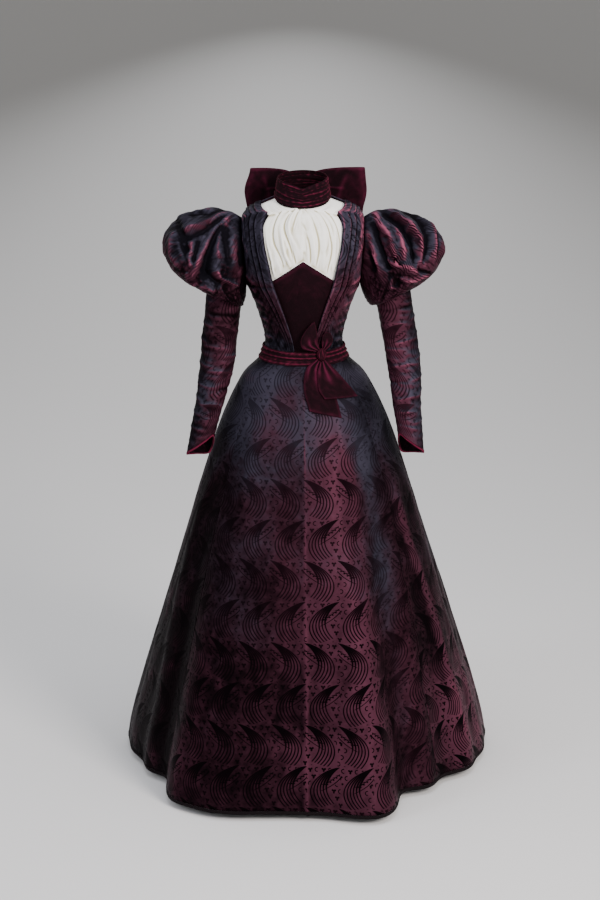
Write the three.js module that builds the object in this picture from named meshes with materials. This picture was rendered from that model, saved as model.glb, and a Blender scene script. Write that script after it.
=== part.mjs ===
// A worn afternoon dress of the 1890s, hollow and open at the neck, cuffs and hem: a close bodice with a
// gathered chemisette and a pointed velvet plastron, ballooned upper sleeves over tight lower ones, a velvet
// stock collar with a bow behind, a velvet sash, and a flared skirt that hangs just clear of the floor.
// Millimetres, +Z up. The dress faces -Y, and its left side, as worn, is on +X.
// Heights are measured up from the floor; the finished group is lowered so that z = 0 is the shoulder line.
import * as THREE from "three";

const { Vector3 } = THREE;

// ---------------------------------------------------------------- driving sizes
const SHOULDER_HEIGHT = 1365; // floor to the shoulder seam, the level that the dress hangs from
const WAIST_HEIGHT = 1045; // floor to the waist seam
const HEM_HEIGHT = 25; // floor to the skirt's edge
const CLOTH = 2; // thickness of a wall of silk or velvet
const CHEMISETTE_CLOTH = 1.6; // thickness of the thin gathered silk at the neck
const SEAM_GAP = 0.3; // space left between two pieces at a seam

const DEGREE = Math.PI / 180;
const lerp = (a, b, share) => a + (b - a) * share;
const clamp = (value, low, high) => Math.min(high, Math.max(low, value));
const smooth = (value) => {
  const share = clamp(value, 0, 1);
  return share * share * (3 - 2 * share);
};

// ---------------------------------------------------------------- tables and grids
// Reads one column of a table at a place between its rows, on a smooth curve through the rows.
// Each row's slope is the average of the slopes on its two sides.
function along(rows, by, at, column) {
  const last = rows.length - 1;
  const place = clamp(at, rows[0][by], rows[last][by]);
  let i = 0;
  while (i < last - 1 && rows[i + 1][by] < place) i += 1;
  const slopeBetween = (a, b) => (rows[b][column] - rows[a][column]) / (rows[b][by] - rows[a][by]);
  const slopeAt = (k) => slopeBetween(Math.max(0, k - 1), Math.min(last, k + 1));
  const span = rows[i + 1][by] - rows[i][by];
  const t = (place - rows[i][by]) / span;
  const start = rows[i][column];
  const rise = rows[i + 1][column] - start;
  const enter = slopeAt(i) * span - rise;
  const leave = rise - slopeAt(i + 1) * span;
  return start + rise * t + t * (1 - t) * (enter * (1 - t) + leave * t);
}

// A closed wall between two grids of points. face(s, t, lift) gives the point of the cloth at a share s across
// and t along, lift millimetres out from the surface that the piece lies on. A ring joins its last column to
// its first. Rows and columns may be numbers of equal steps.
function wall({ face, columns, rows, ring = false, inside = 0, thickness = CLOTH }) {
  const across = ring ? columns : columns + 1;
  const points = [];
  for (const lift of [inside + thickness, inside])
    for (let j = 0; j <= rows; j += 1)
      for (let i = 0; i < across; i += 1) points.push(face(i / columns, j / rows, lift));
  const layer = across * (rows + 1);
  const outer = (i, j) => j * across + (i % across);
  const inner = (i, j) => layer + outer(i, j);
  const triangles = [];
  const quad = (a, b, c, d) => triangles.push(a, b, c, a, c, d);
  for (let j = 0; j < rows; j += 1)
    for (let i = 0; i < columns; i += 1) {
      quad(outer(i, j), outer(i + 1, j), outer(i + 1, j + 1), outer(i, j + 1));
      quad(inner(i, j), inner(i, j + 1), inner(i + 1, j + 1), inner(i + 1, j));
    }
  for (let i = 0; i < columns; i += 1) {
    quad(outer(i + 1, 0), outer(i, 0), inner(i, 0), inner(i + 1, 0));
    quad(outer(i, rows), outer(i + 1, rows), inner(i + 1, rows), inner(i, rows));
  }
  if (!ring)
    for (let j = 0; j < rows; j += 1) {
      quad(outer(0, j), outer(0, j + 1), inner(0, j + 1), inner(0, j));
      quad(outer(columns, j + 1), outer(columns, j), inner(columns, j), inner(columns, j + 1));
    }
  return facingOut(points, triangles);
}

// Makes the geometry, with every triangle turned round if the solid came out inside out.
function facingOut(points, triangles) {
  let volume = 0;
  for (let k = 0; k < triangles.length; k += 3) {
    const [a, b, c] = triangles.slice(k, k + 3).map((n) => points[n]);
    volume += a.dot(new Vector3().crossVectors(b, c));
  }
  const turned = volume < 0 ? triangles.reverse() : triangles;
  const geometry = new THREE.BufferGeometry().setFromPoints(points);
  geometry.setIndex(turned);
  geometry.computeVertexNormals();
  return geometry;
}

// Turns a surface of (s, t) into a face of (s, t, lift), moved out along the surface's own normal.
// turn is 1 or -1 and picks the side that counts as out.
function alongNormal(surface, turn) {
  const STEP = 1e-3;
  return (s, t, lift) => {
    const low = Math.max(0, t - STEP);
    const high = Math.min(1, t + STEP);
    const acrossCloth = surface(s + STEP, t).sub(surface(s - STEP, t));
    const downCloth = surface(s, high).sub(surface(s, low));
    const normal = acrossCloth.cross(downCloth).normalize();
    return surface(s, t).addScaledVector(normal, turn * lift);
  };
}

// ---------------------------------------------------------------- skirt
// Sections of the skirt: height above the floor, half width, how far its widest line lies behind the
// shoulder line, and the depth from that line to the front and to the back.
const SKIRT = [
  { drop: 0, half: 96, centre: 0, front: 90, back: 80 },
  { drop: 11, half: 103, centre: 0, front: 93, back: 88 },
  { drop: 22, half: 114, centre: 1, front: 97, back: 102 },
  { drop: 47, half: 140, centre: 4, front: 106, back: 128 },
  { drop: 96, half: 166, centre: 10, front: 125, back: 152 },
  { drop: 171, half: 199, centre: 18, front: 153, back: 180 },
  { drop: 298, half: 242, centre: 32, front: 201, back: 226 },
  { drop: 439, half: 286, centre: 47, front: 254, back: 272 },
  { drop: 637, half: 344, centre: 69, front: 330, back: 322 },
  { drop: 798, half: 391, centre: 86, front: 390, back: 356 },
  { drop: 962, half: 436, centre: 104, front: 447, back: 386 },
  { drop: 1020, half: 446, centre: 110, front: 466, back: 396 },
];

// Folds that open towards the hem: angle round from the centre front, positive towards +X, half width of the
// fold, how far it stands out (or sinks in) at the hem, and how far below the waist it starts.
const SKIRT_FOLDS = [
  { angle: 0, spread: 3, depth: 4, start: 60 },
  { angle: 19, spread: 10.5, depth: 58, start: 240 },
  { angle: 36, spread: 8.5, depth: -57, start: 200 },
  { angle: 55, spread: 10, depth: -48, start: 380 },
  { angle: 75, spread: 6.5, depth: -13, start: 420 },
  { angle: -28.5, spread: 14, depth: 42, start: 300 },
  { angle: -41.5, spread: 7, depth: 18, start: 300 },
  { angle: -58, spread: 8, depth: -40, start: 260 },
  { angle: -75, spread: 9, depth: -26, start: 380 },
  { angle: 104, spread: 8, depth: 22, start: 120 },
  { angle: 122, spread: 7, depth: -30, start: 40 },
  { angle: 138, spread: 8, depth: 26, start: 30 },
  { angle: 153, spread: 7, depth: -34, start: 20 },
  { angle: 168, spread: 8, depth: 24, start: 20 },
  { angle: 180, spread: 5, depth: -30, start: 20 },
  { angle: -104, spread: 8, depth: 22, start: 120 },
  { angle: -122, spread: 7, depth: -30, start: 40 },
  { angle: -138, spread: 8, depth: 26, start: 30 },
  { angle: -153, spread: 7, depth: -34, start: 20 },
  { angle: -168, spread: 8, depth: 24, start: 20 },
];
const SKIRT_LENGTH = WAIST_HEIGHT - HEM_HEIGHT;

function foldOut(angle, drop) {
  let out = 0;
  for (const fold of SKIRT_FOLDS) {
    const turn = Math.abs(((angle - fold.angle + 540) % 360) - 180);
    const growth = clamp((drop - fold.start) / (SKIRT_LENGTH - fold.start), 0, 1);
    out += fold.depth * Math.exp(-((turn / fold.spread) ** 2)) * growth ** 1.25;
  }
  return out;
}

// A point of the skirt, by its angle round from the centre front and its height above the floor.
function skirtPoint(angle, height, lift = 0) {
  const drop = WAIST_HEIGHT - height;
  const read = (column) => along(SKIRT, "drop", drop, column);
  const sine = Math.sin(angle * DEGREE);
  const cosine = Math.cos(angle * DEGREE);
  const half = read("half");
  const depth = read(cosine >= 0 ? "front" : "back");
  const outward = new Vector3(sine / half, -cosine / depth, 0).normalize();
  return new Vector3(half * sine, read("centre") - depth * cosine, height).addScaledVector(
    outward,
    foldOut(angle, drop) + lift,
  );
}

// Edges of the gores, as angles round from the centre front. The seams lie behind the front's two deep folds.
const SIDE_SEAM = 50;
const BACK_SEAM = 112;
const GORES = [
  { name: "skirt_front", from: -SIDE_SEAM, to: SIDE_SEAM, columns: 24 },
  { name: "skirt_side_left", from: SIDE_SEAM, to: BACK_SEAM, columns: 12 },
  { name: "skirt_back", from: BACK_SEAM, to: 360 - BACK_SEAM, columns: 28 },
  { name: "skirt_side_right", from: 360 - BACK_SEAM, to: 360 - SIDE_SEAM, columns: 12 },
];

// One gore from the waist to the hem, with a row of points at each section of the skirt.
function gore({ from, to, columns }) {
  const rows = SKIRT.length - 1;
  const face = (s, t, lift) => {
    const section = SKIRT[Math.round(t * rows)];
    const height = WAIST_HEIGHT - Math.max(SEAM_GAP, section.drop);
    const edge = SEAM_GAP / 2 / (section.half * DEGREE);
    return skirtPoint(lerp(from + edge, to - edge, s), height, lift);
  };
  return wall({ face, columns, rows });
}

// The dark braid that binds the hem, standing just below the skirt's edge and as thick as the turned cloth.
const BRAID = { height: 9, thickness: 3, columns: 76 };

function hemBraid() {
  const top = HEM_HEIGHT - SEAM_GAP;
  const face = (s, t, lift) => {
    const point = skirtPoint(s * 360, HEM_HEIGHT, lift);
    return point.setZ(lerp(top, top - BRAID.height, t));
  };
  const inside = (CLOTH - BRAID.thickness) / 2;
  return wall({ face, columns: BRAID.columns, rows: 1, ring: true, inside, thickness: BRAID.thickness });
}

// ---------------------------------------------------------------- bodice
// A half section of the torso runs from the centre (u = 0) round to the side seam or armhole (u = 1).
// v runs up from the waist (0) past the armpit and the neck's base to the shoulder seam (1).
const ARMPIT = 0.54;
const NECK = 0.94;
const TORSO = [
  { v: 0, side: 96, sideRise: 0, front: 90, frontRise: 0, back: 80, backRise: 0, lean: 0 },
  { v: 0.1, side: 90, sideRise: 33, front: 87, frontRise: 33, back: 76, backRise: 33, lean: 0 },
  { v: 0.24, side: 99, sideRise: 77, front: 97, frontRise: 77, back: 84, backRise: 77, lean: 0 },
  { v: 0.4, side: 114, sideRise: 123, front: 113, frontRise: 125, back: 96, backRise: 125, lean: 0 },
  { v: ARMPIT, side: 131, sideRise: 162, front: 124, frontRise: 170, back: 104, backRise: 173, lean: 0.05 },
  { v: 0.68, side: 131, sideRise: 162, front: 121, frontRise: 225, back: 108, backRise: 235, lean: 0.18 },
  { v: 0.8, side: 131, sideRise: 162, front: 107, frontRise: 280, back: 103, backRise: 290, lean: 0.42 },
  { v: 0.88, side: 131, sideRise: 162, front: 91, frontRise: 317, back: 87, backRise: 340, lean: 0.7 },
  { v: NECK, side: 131, sideRise: 162, front: 74, frontRise: 345, back: 58, backRise: 373, lean: 0.9 },
];
const NECK_SIDE = { out: 64, back: -4, rise: 367 }; // where the shoulder seam meets the neck
const ARMHOLE = { out: 136.5, tilt: 5.5, deep: 50, centre: 1286, high: 79 };

// The armhole's edge. turn is 0 at the shoulder and 180 at the armpit; half is 1 in front and -1 behind.
function armhole(turn, half, shift = 0) {
  const cosine = Math.cos(turn * DEGREE);
  return new Vector3(
    ARMHOLE.out + ARMHOLE.tilt * cosine + shift,
    -half * ARMHOLE.deep * Math.sin(turn * DEGREE),
    ARMHOLE.centre + ARMHOLE.high * cosine,
  );
}

function torsoCentre(v, half) {
  const [depth, rise] = half > 0 ? ["front", "frontRise"] : ["back", "backRise"];
  if (v <= NECK)
    return new Vector3(0, -half * along(TORSO, "v", v, depth), WAIST_HEIGHT + along(TORSO, "v", v, rise));
  const base = TORSO[TORSO.length - 1];
  const turn = ((v - NECK) / (1 - NECK)) * 90 * DEGREE;
  return new Vector3(
    NECK_SIDE.out * Math.sin(turn),
    lerp(NECK_SIDE.back, -half * base[depth], Math.cos(turn)),
    WAIST_HEIGHT + lerp(NECK_SIDE.rise, base[rise], Math.cos(turn)),
  );
}

function torsoEdge(v, half) {
  if (v > ARMPIT) return armhole(180 * (1 - (v - ARMPIT) / (1 - ARMPIT)), half);
  return new Vector3(along(TORSO, "v", v, "side"), 0, WAIST_HEIGHT + along(TORSO, "v", v, "sideRise"));
}

// A point of the torso on one side (1 for +X, -1 for -X) of its front (half 1) or back (half -1).
function torsoPoint(u, v, side, half, lift = 0) {
  const centre = torsoCentre(v, half);
  const edge = torsoEdge(v, half);
  const sine = Math.sin((u * Math.PI) / 2);
  const cosine = Math.cos((u * Math.PI) / 2);
  const lean = v > NECK ? lerp(0.9, 1, (v - NECK) / (1 - NECK)) : along(TORSO, "v", v, "lean");
  const point = new Vector3(
    lerp(centre.x, edge.x, sine),
    lerp(edge.y, centre.y, cosine),
    lerp(centre.z, edge.z, u),
  );
  const outward = new Vector3(
    sine * (1 - 0.55 * lean) + 0.35 * lean * Math.min(1, 6 * u + 10 * Math.max(0, v - NECK)),
    -half * cosine * (1 - lean),
    1.1 * lean,
  ).normalize();
  point.addScaledVector(outward, lift);
  point.x *= side;
  return point;
}

// Where the bodice's two fronts part over the plastron and the chemisette, as u at each v, and how wide the
// pleated revers is there, also in u.
const OPENING = [
  { v: 0, edge: 0.14, revers: 0.1 },
  { v: 0.1, edge: 0.18, revers: 0.13 },
  { v: 0.24, edge: 0.24, revers: 0.17 },
  { v: 0.4, edge: 0.3, revers: 0.21 },
  { v: ARMPIT, edge: 0.34, revers: 0.25 },
  { v: 0.68, edge: 0.39, revers: 0.27 },
  { v: 0.8, edge: 0.44, revers: 0.29 },
  { v: 0.9, edge: 0.43, revers: 0.33 },
  { v: 1, edge: 0.27, revers: 0.4 },
];
const openingEdge = (v) => along(OPENING, "v", v, "edge");
const TOP_MARGIN = 0.0005; // share of v kept free at the shoulder seam
const SIDE_MARGIN = 0.0012; // share of u kept free at the side seam

function bodiceFront(side) {
  const face = (s, t, lift) => {
    const v = lerp(0, 1 - TOP_MARGIN, t);
    return torsoPoint(lerp(openingEdge(v), 1 - SIDE_MARGIN, s), v, side, 1, lift);
  };
  return wall({ face, columns: 9, rows: 12 });
}

function bodiceBack(side) {
  const face = (s, t, lift) => {
    const point = torsoPoint(lerp(0, 1 - SIDE_MARGIN, s), lerp(0, 1 - TOP_MARGIN, t), side, -1, lift);
    point.x += (side * SEAM_GAP) / 2;
    return point;
  };
  return wall({ face, columns: 9, rows: 12 });
}

// The revers is laid in three long pleats: where each edge lies across it, and how far that edge stands up.
const REVERS_PLEATS = [
  { across: 0, up: 1.5 },
  { across: 0.05, up: 4 },
  { across: 0.33, up: 7 },
  { across: 0.38, up: 2.5 },
  { across: 0.64, up: 6 },
  { across: 0.69, up: 2 },
  { across: 0.96, up: 5 },
  { across: 1, up: 0.4 },
];

function revers(side) {
  const steps = REVERS_PLEATS.length - 1;
  const face = (s, t, lift) => {
    const { across, up } = REVERS_PLEATS[Math.round(s * steps)];
    const v = lerp(0.045, 1 - TOP_MARGIN, t);
    const u = openingEdge(v) - 0.012 + across * along(OPENING, "v", v, "revers");
    const fade = smooth(t * 4);
    return torsoPoint(u, v, side, 1, CLOTH + 3 * SEAM_GAP + up * lerp(0.35, 1, fade) + lift);
  };
  return wall({ face, columns: steps, rows: 12, thickness: 1.6 });
}

// The plastron is a velvet panel under the fronts, with a pointed top edge.
const PLASTRON = { peak: 0.69, sides: 0.585, underlap: 0.06, inside: -3.2 };

// The plastron's top edge, as v, at a share of the way from its peak to its side.
const plastronTop = (share) => lerp(PLASTRON.peak, PLASTRON.sides, share);

function plastron() {
  const face = (s, t, lift) => {
    const across = lerp(-1, 1, s);
    const share = Math.abs(across);
    const v = plastronTop(share) * t;
    const u = share * (openingEdge(v) + PLASTRON.underlap);
    return torsoPoint(u, v, across < 0 ? -1 : 1, 1, lift);
  };
  return wall({ face, columns: 12, rows: 7, inside: PLASTRON.inside });
}

// The chemisette's gathers run up from behind the plastron to the neck's base and the shoulder seams.
// neckShare is the part of its width that ends at the neck, and tuck is how far it reaches, in v, below and
// above the plastron's top edge before its gathers open.
const CHEMISETTE = { underlap: 0.05, gathers: 9, fullness: 3, neckShare: 0.62 };
const CHEMISETTE_INSIDE = { low: -6.3, neck: -1.5, shoulder: -3.9 };
const CHEMISETTE_TUCK = { below: 0.06, above: 0.015 };
const CHEMISETTE_ROWS = 7;

function chemisette() {
  const { underlap, gathers, fullness, neckShare } = CHEMISETTE;
  const { low, neck, shoulder } = CHEMISETTE_INSIDE;
  const face = (s, t, lift) => {
    const across = lerp(-1, 1, s);
    const share = Math.abs(across);
    const top = lerp(NECK, 1 - TOP_MARGIN, Math.min(1, share / neckShare));
    const topEdge = Math.max(0, (share - neckShare) / (1 - neckShare)) * (openingEdge(1) + underlap);
    const upperShare = (t * CHEMISETTE_ROWS - 1) / (CHEMISETTE_ROWS - 1);
    const tuckTop = plastronTop(share) + CHEMISETTE_TUCK.above;
    const v = upperShare < 0 ? plastronTop(share) - CHEMISETTE_TUCK.below : lerp(tuckTop, top, upperShare);
    const u = lerp(share * (openingEdge(v) + underlap), topEdge, t ** 5);
    const open = smooth(upperShare * 4) * smooth((1 - upperShare) * 5) * smooth((0.86 - share) * 5);
    const wave = fullness * open * (1 + Math.cos(across * gathers * Math.PI));
    const inside = lerp(low, lerp(neck, shoulder, smooth(share * 1.5)), smooth(upperShare * 2));
    return torsoPoint(u, v, across < 0 ? -1 : 1, 1, inside + wave + lift);
  };
  return wall({ face, columns: 36, rows: CHEMISETTE_ROWS, thickness: CHEMISETTE_CLOTH });
}

// ---------------------------------------------------------------- collar
// The stock stands on the neck's base and narrows a little to its top edge, which dips at the centre front.
const COLLAR = { out: 56, front: 62, back: 50, topFront: 1448, topBack: 1470, dip: 8, pleats: 3, pleatDepth: 1.9 };

function collar() {
  const face = (s, t, lift) => {
    const angle = lerp(-180, 180, s);
    const half = Math.abs(angle) <= 90 ? 1 : -1;
    const side = angle < 0 ? -1 : 1;
    const share = (half > 0 ? Math.abs(angle) : 180 - Math.abs(angle)) / 90;
    const base = torsoPoint(0, lerp(NECK, 1, share), side, half, CLOTH + SEAM_GAP + 0.4);
    const sine = Math.sin(angle * DEGREE);
    const cosine = Math.cos(angle * DEGREE);
    const notch = COLLAR.dip * Math.exp(-((angle / 22) ** 2));
    const top = new Vector3(
      COLLAR.out * sine,
      NECK_SIDE.back - (half > 0 ? COLLAR.front : COLLAR.back) * cosine,
      lerp(COLLAR.topFront, COLLAR.topBack, (1 - cosine) / 2) - notch,
    );
    const pleat = COLLAR.pleatDepth * Math.sin(t * COLLAR.pleats * Math.PI) ** 2;
    const outward = new Vector3(sine, -cosine, 0);
    return base.lerp(top, t).addScaledVector(outward, pleat + lift);
  };
  return wall({ face, columns: 28, rows: COLLAR.pleats * 2, ring: true });
}

// A rounded knot of velvet.
function knot(across, deep, high) {
  return new THREE.SphereGeometry(1, 12, 8).scale(across, deep, high);
}

// The bow behind the neck. Each loop is a band that leaves the knot, turns at its outer end and comes back
// behind itself: how far out it is at each share of its way, how far back, its half height and its middle.
const NECK_BOW = { height: 1438, root: 11.6, knot: [12, 15, 21], knotBack: 74.5, leftReach: 152, rightReach: 138 };
const NECK_LOOP = [
  { way: 0, out: 0, back: 69, half: 15, middle: 0 },
  { way: 0.14, out: 0.19, back: 88, half: 33, middle: -6 },
  { way: 0.3, out: 0.52, back: 98, half: 49, middle: -17 },
  { way: 0.44, out: 0.92, back: 99, half: 54, middle: -22 },
  { way: 0.5, out: 1, back: 108, half: 54, middle: -22 },
  { way: 0.56, out: 0.92, back: 118, half: 54, middle: -22 },
  { way: 0.7, out: 0.52, back: 120, half: 48, middle: -17 },
  { way: 0.86, out: 0.19, back: 106, half: 32, middle: -6 },
  { way: 1, out: 0, back: 82, half: 15, middle: 0 },
];

function neckLoop(side, reach) {
  const read = (way, column) => along(NECK_LOOP, "way", way, column);
  const surface = (s, t) => {
    const way = clamp(s, 0, 1);
    const rise = read(way, "middle") + read(way, "half") * lerp(-1, 1, t);
    const out = lerp(NECK_BOW.root, reach, read(way, "out"));
    return new Vector3(side * out, read(way, "back"), NECK_BOW.height + rise);
  };
  return wall({ face: alongNormal(surface, side), columns: 16, rows: 3 });
}

// ---------------------------------------------------------------- sleeves
// The line of each arm down from the armhole: height above the floor, distance out from the middle, distance
// forward, and the sleeve's half width seen from the front and from the side.
const LEFT_ARM = [
  { height: 800, out: 254, forward: 96, across: 29, deep: 30 },
  { height: 866, out: 249, forward: 82, across: 30, deep: 31 },
  { height: 936, out: 242, forward: 60, across: 34, deep: 36 },
  { height: 1005, out: 238, forward: 36, across: 39, deep: 42 },
  { height: 1075, out: 229, forward: 20, across: 41, deep: 44 },
  { height: 1147, out: 217, forward: 13, across: 42, deep: 45 },
  { height: 1215, out: 207, forward: 10, across: 44, deep: 47 },
];
const RIGHT_ARM = [
  { height: 800, out: 253, forward: 96, across: 29, deep: 30 },
  { height: 866, out: 240, forward: 82, across: 30, deep: 31 },
  { height: 936, out: 223, forward: 60, across: 34, deep: 36 },
  { height: 1005, out: 208, forward: 36, across: 40, deep: 42 },
  { height: 1075, out: 200, forward: 20, across: 42, deep: 44 },
  { height: 1147, out: 191, forward: 13, across: 42, deep: 45 },
  { height: 1215, out: 184, forward: 10, across: 44, deep: 47 },
];
const SLEEVE_TOP = 1212;
// The cuff's edge: it is long over the outside and the back of the wrist, and high in front, where it opens.
const CUFF_EDGE = [
  { turn: 0, height: 821 },
  { turn: 60, height: 838 },
  { turn: 110, height: 857 },
  { turn: 145, height: 867 },
  { turn: 180, height: 848 },
  { turn: 215, height: 822 },
  { turn: 290, height: 817 },
  { turn: 360, height: 821 },
];
const CUFF_BINDING = { height: 6, thickness: 4 };

// A point round an arm. turn is 0 on the outside, 90 in front, 180 on the inside and 270 behind.
function armPoint(arm, side, turn, height, lift = 0) {
  const read = (column) => along(arm, "height", height, column);
  const sine = Math.sin(turn * DEGREE);
  const cosine = Math.cos(turn * DEGREE);
  const out = read("out") + (read("across") + lift) * cosine;
  return new Vector3(side * out, -read("forward") - (read("deep") + lift) * sine, height);
}

function sleeve(arm, side) {
  const face = (s, t, lift) => {
    const turn = s * 360;
    const height = lerp(SLEEVE_TOP, along(CUFF_EDGE, "turn", turn, "height"), t);
    return armPoint(arm, side, turn, height, lift - CLOTH);
  };
  return wall({ face, columns: 20, rows: 8, ring: true });
}

function cuffBinding(arm, side) {
  const face = (s, t, lift) => {
    const turn = s * 360;
    const edge = along(CUFF_EDGE, "turn", turn, "height") - 4 * SEAM_GAP;
    return armPoint(arm, side, turn, edge, lift - CLOTH).add(new Vector3(0, 0, -CUFF_BINDING.height * t));
  };
  const inside = (CLOTH - CUFF_BINDING.thickness) / 2;
  return wall({ face, columns: 20, rows: 1, ring: true, inside, thickness: CUFF_BINDING.thickness });
}

// The balloon from the armhole to the upper arm. At the shoulder it stands out by full, in front and behind by
// sides, and it hangs under the arm by hang. It turns from swing degrees upwards at the armhole to drop
// degrees downwards at its lower edge, and is pleated all round.
const PUFF = { sides: 66, hang: 26, swing: 43, drop: -5, pleats: 11, pleatDepth: 8, lean: 40 };
const PUFF_EDGE = { height: 1187, tilt: 19, frontRise: 6 };

function puff(arm, side, full) {
  const surface = (s, t) => {
    const turn = s * 360;
    const sine = Math.sin(turn * DEGREE);
    const cosine = Math.cos(turn * DEGREE);
    const start = armhole(turn, 1, CLOTH + 2 * SEAM_GAP);
    const endHeight = PUFF_EDGE.height + PUFF_EDGE.tilt * cosine + PUFF_EDGE.frontRise * sine;
    const end = armPoint(arm, 1, turn, endHeight, 3 * SEAM_GAP);
    const tip = lerp(PUFF.swing, PUFF.drop, t) * DEGREE;
    const top = ((1 + cosine) / 2) ** 1.4 * full;
    const under = ((1 - cosine) / 2) ** 2 * PUFF.hang;
    const beside = Math.abs(sine) ** 1.3 * Math.sign(sine) * PUFF.sides;
    const bulge = new Vector3(
      top * Math.cos(tip) + 0.3 * Math.abs(beside) + 0.05 * under,
      -beside,
      top * Math.sin(tip) - 0.25 * t * Math.abs(beside) - under,
    );
    const swell = Math.sin(Math.PI * clamp(t, 0, 1)) ** 0.75;
    const gather = PUFF.pleatDepth * Math.cos((PUFF.pleats * turn + PUFF.lean * t) * DEGREE);
    const pleat = gather * swell * (0.45 + 0.55 * Math.abs(cosine + 1) * 0.5) * smooth(t * 8);
    const point = start.lerp(end, t).add(bulge.clone().multiplyScalar(swell));
    point.addScaledVector(bulge.normalize(), pleat);
    point.x *= side;
    return point;
  };
  return wall({ face: alongNormal(surface, side), columns: 38, rows: 9, ring: true, inside: -CLOTH });
}

// ---------------------------------------------------------------- sash
// The surface of the dress at the waist: bodice above the waist seam and skirt below it.
const RISE_PER_V = 330; // height of the bodice near the waist for each unit of v

function waistPoint(angle, height, lift) {
  if (height < WAIST_HEIGHT) return skirtPoint(angle, height, lift);
  const wrapped = ((angle + 540) % 360) - 180;
  const round = Math.abs(wrapped);
  const half = round <= 90 ? 1 : -1;
  const u = (half > 0 ? round : 180 - round) / 90;
  return torsoPoint(u, (height - WAIST_HEIGHT) / RISE_PER_V, wrapped < 0 ? -1 : 1, half, lift);
}

const SASH = { bottom: 1035, width: 31, frontDip: 9, pleats: 2, pleatDepth: 2.2, lift: CLOTH + 1.6 };

function sash() {
  const face = (s, t, lift) => {
    const angle = s * 360;
    const dip = SASH.frontDip * Math.max(0, Math.cos(angle * DEGREE)) ** 1.5;
    const pleat = SASH.pleatDepth * Math.sin(t * SASH.pleats * Math.PI) ** 2;
    return waistPoint(angle, SASH.bottom - dip + SASH.width * t, SASH.lift + pleat + lift);
  };
  return wall({ face, columns: 44, rows: SASH.pleats * 2, ring: true });
}

// The point of the dress's front at a place seen from the front, lift out from its surface.
function frontPoint(x, height, lift) {
  let angle = 0;
  const level = (at) => waistPoint(at, height, 0);
  for (let pass = 0; pass < 12; pass += 1) angle += (x - level(angle).x) / 2.2;
  return new Vector3(x, level(angle).y - lift, height);
}

// The sash's knot, two loops and two ends. Each row of a loop or an end is a line across it: its two edges
// from the middle of the dress, the height of each edge, and how far it stands off the cloth.
const SASH_KNOT = { x: 42, height: 1053, size: [11, 8, 15] };
const SASH_PIECES = {
  sash_loop_large: [
    { way: 0, left: 28.5, right: 36.8, leftHeight: 1060, rightHeight: 1066.5, off: 15 },
    { way: 0.3, left: -2, right: 33, leftHeight: 1068, rightHeight: 1084, off: 17 },
    { way: 0.6, left: -7, right: 32, leftHeight: 1088, rightHeight: 1100, off: 17 },
    { way: 0.85, left: 5, right: 29, leftHeight: 1112, rightHeight: 1118, off: 13 },
    { way: 1, left: 19, right: 25, leftHeight: 1128, rightHeight: 1132, off: 9 },
  ],
  sash_loop_small: [
    { way: 0, left: 42.5, right: 50, leftHeight: 1068.8, rightHeight: 1061, off: 16 },
    { way: 0.35, left: 42, right: 64, leftHeight: 1083, rightHeight: 1072, off: 16 },
    { way: 0.7, left: 44, right: 68, leftHeight: 1097, rightHeight: 1087, off: 17 },
    { way: 1, left: 52, right: 62, leftHeight: 1106, rightHeight: 1102, off: 15 },
  ],
  sash_end_long: [
    { way: 0, left: 32, right: 41, leftHeight: 1043, rightHeight: 1036, off: 9 },
    { way: 0.25, left: 6, right: 50, leftHeight: 1022, rightHeight: 1012, off: 8 },
    { way: 0.6, left: -1, right: 72, leftHeight: 976, rightHeight: 962, off: 6 },
    { way: 1, left: 12, right: 88, leftHeight: 924, rightHeight: 905, off: 5 },
  ],
  sash_end_short: [
    { way: 0, left: 38, right: 50, leftHeight: 1035.6, rightHeight: 1040.6, off: 16 },
    { way: 0.3, left: 31, right: 72, leftHeight: 1012, rightHeight: 1018, off: 16 },
    { way: 0.7, left: 34, right: 106, leftHeight: 974, rightHeight: 978, off: 14 },
    { way: 1, left: 48, right: 126, leftHeight: 951, rightHeight: 951, off: 12 },
  ],
};

function sashPiece(rows) {
  const face = (s, t, lift) => {
    const read = (column) => along(rows, "way", t, column);
    const hollow = 3 * Math.sin(s * Math.PI) * Math.sin(t * Math.PI);
    const x = lerp(read("left"), read("right"), s);
    const height = lerp(read("leftHeight"), read("rightHeight"), s);
    return frontPoint(x, height, read("off") + hollow + lift);
  };
  return wall({ face, columns: 5, rows: 6 });
}

// ---------------------------------------------------------------- materials
const cloth = (name, color, roughness) =>
  new THREE.MeshStandardMaterial({ name, color, roughness, metalness: 0, side: THREE.DoubleSide });
const SHOT_SILK = cloth("shot silk damask", 0x35202d, 0.5);
const VELVET = cloth("silk velvet", 0x3a0a18, 0.85);
const CREAM_SILK = cloth("cream silk", 0xe9e5d4, 0.7);
const BLACK_BRAID = cloth("black braid", 0x100c10, 0.9);

// ---------------------------------------------------------------- assembly
export const dress = new THREE.Group();
const worn = new THREE.Group();
worn.position.z = -SHOULDER_HEIGHT;
dress.add(worn);

function add(name, geometry, material, place = [0, 0, 0]) {
  const mesh = new THREE.Mesh(geometry, material);
  mesh.name = name;
  mesh.position.set(...place);
  worn.add(mesh);
}

for (const panel of GORES) add(panel.name, gore(panel), SHOT_SILK);
add("hem_braid", hemBraid(), BLACK_BRAID);

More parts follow.
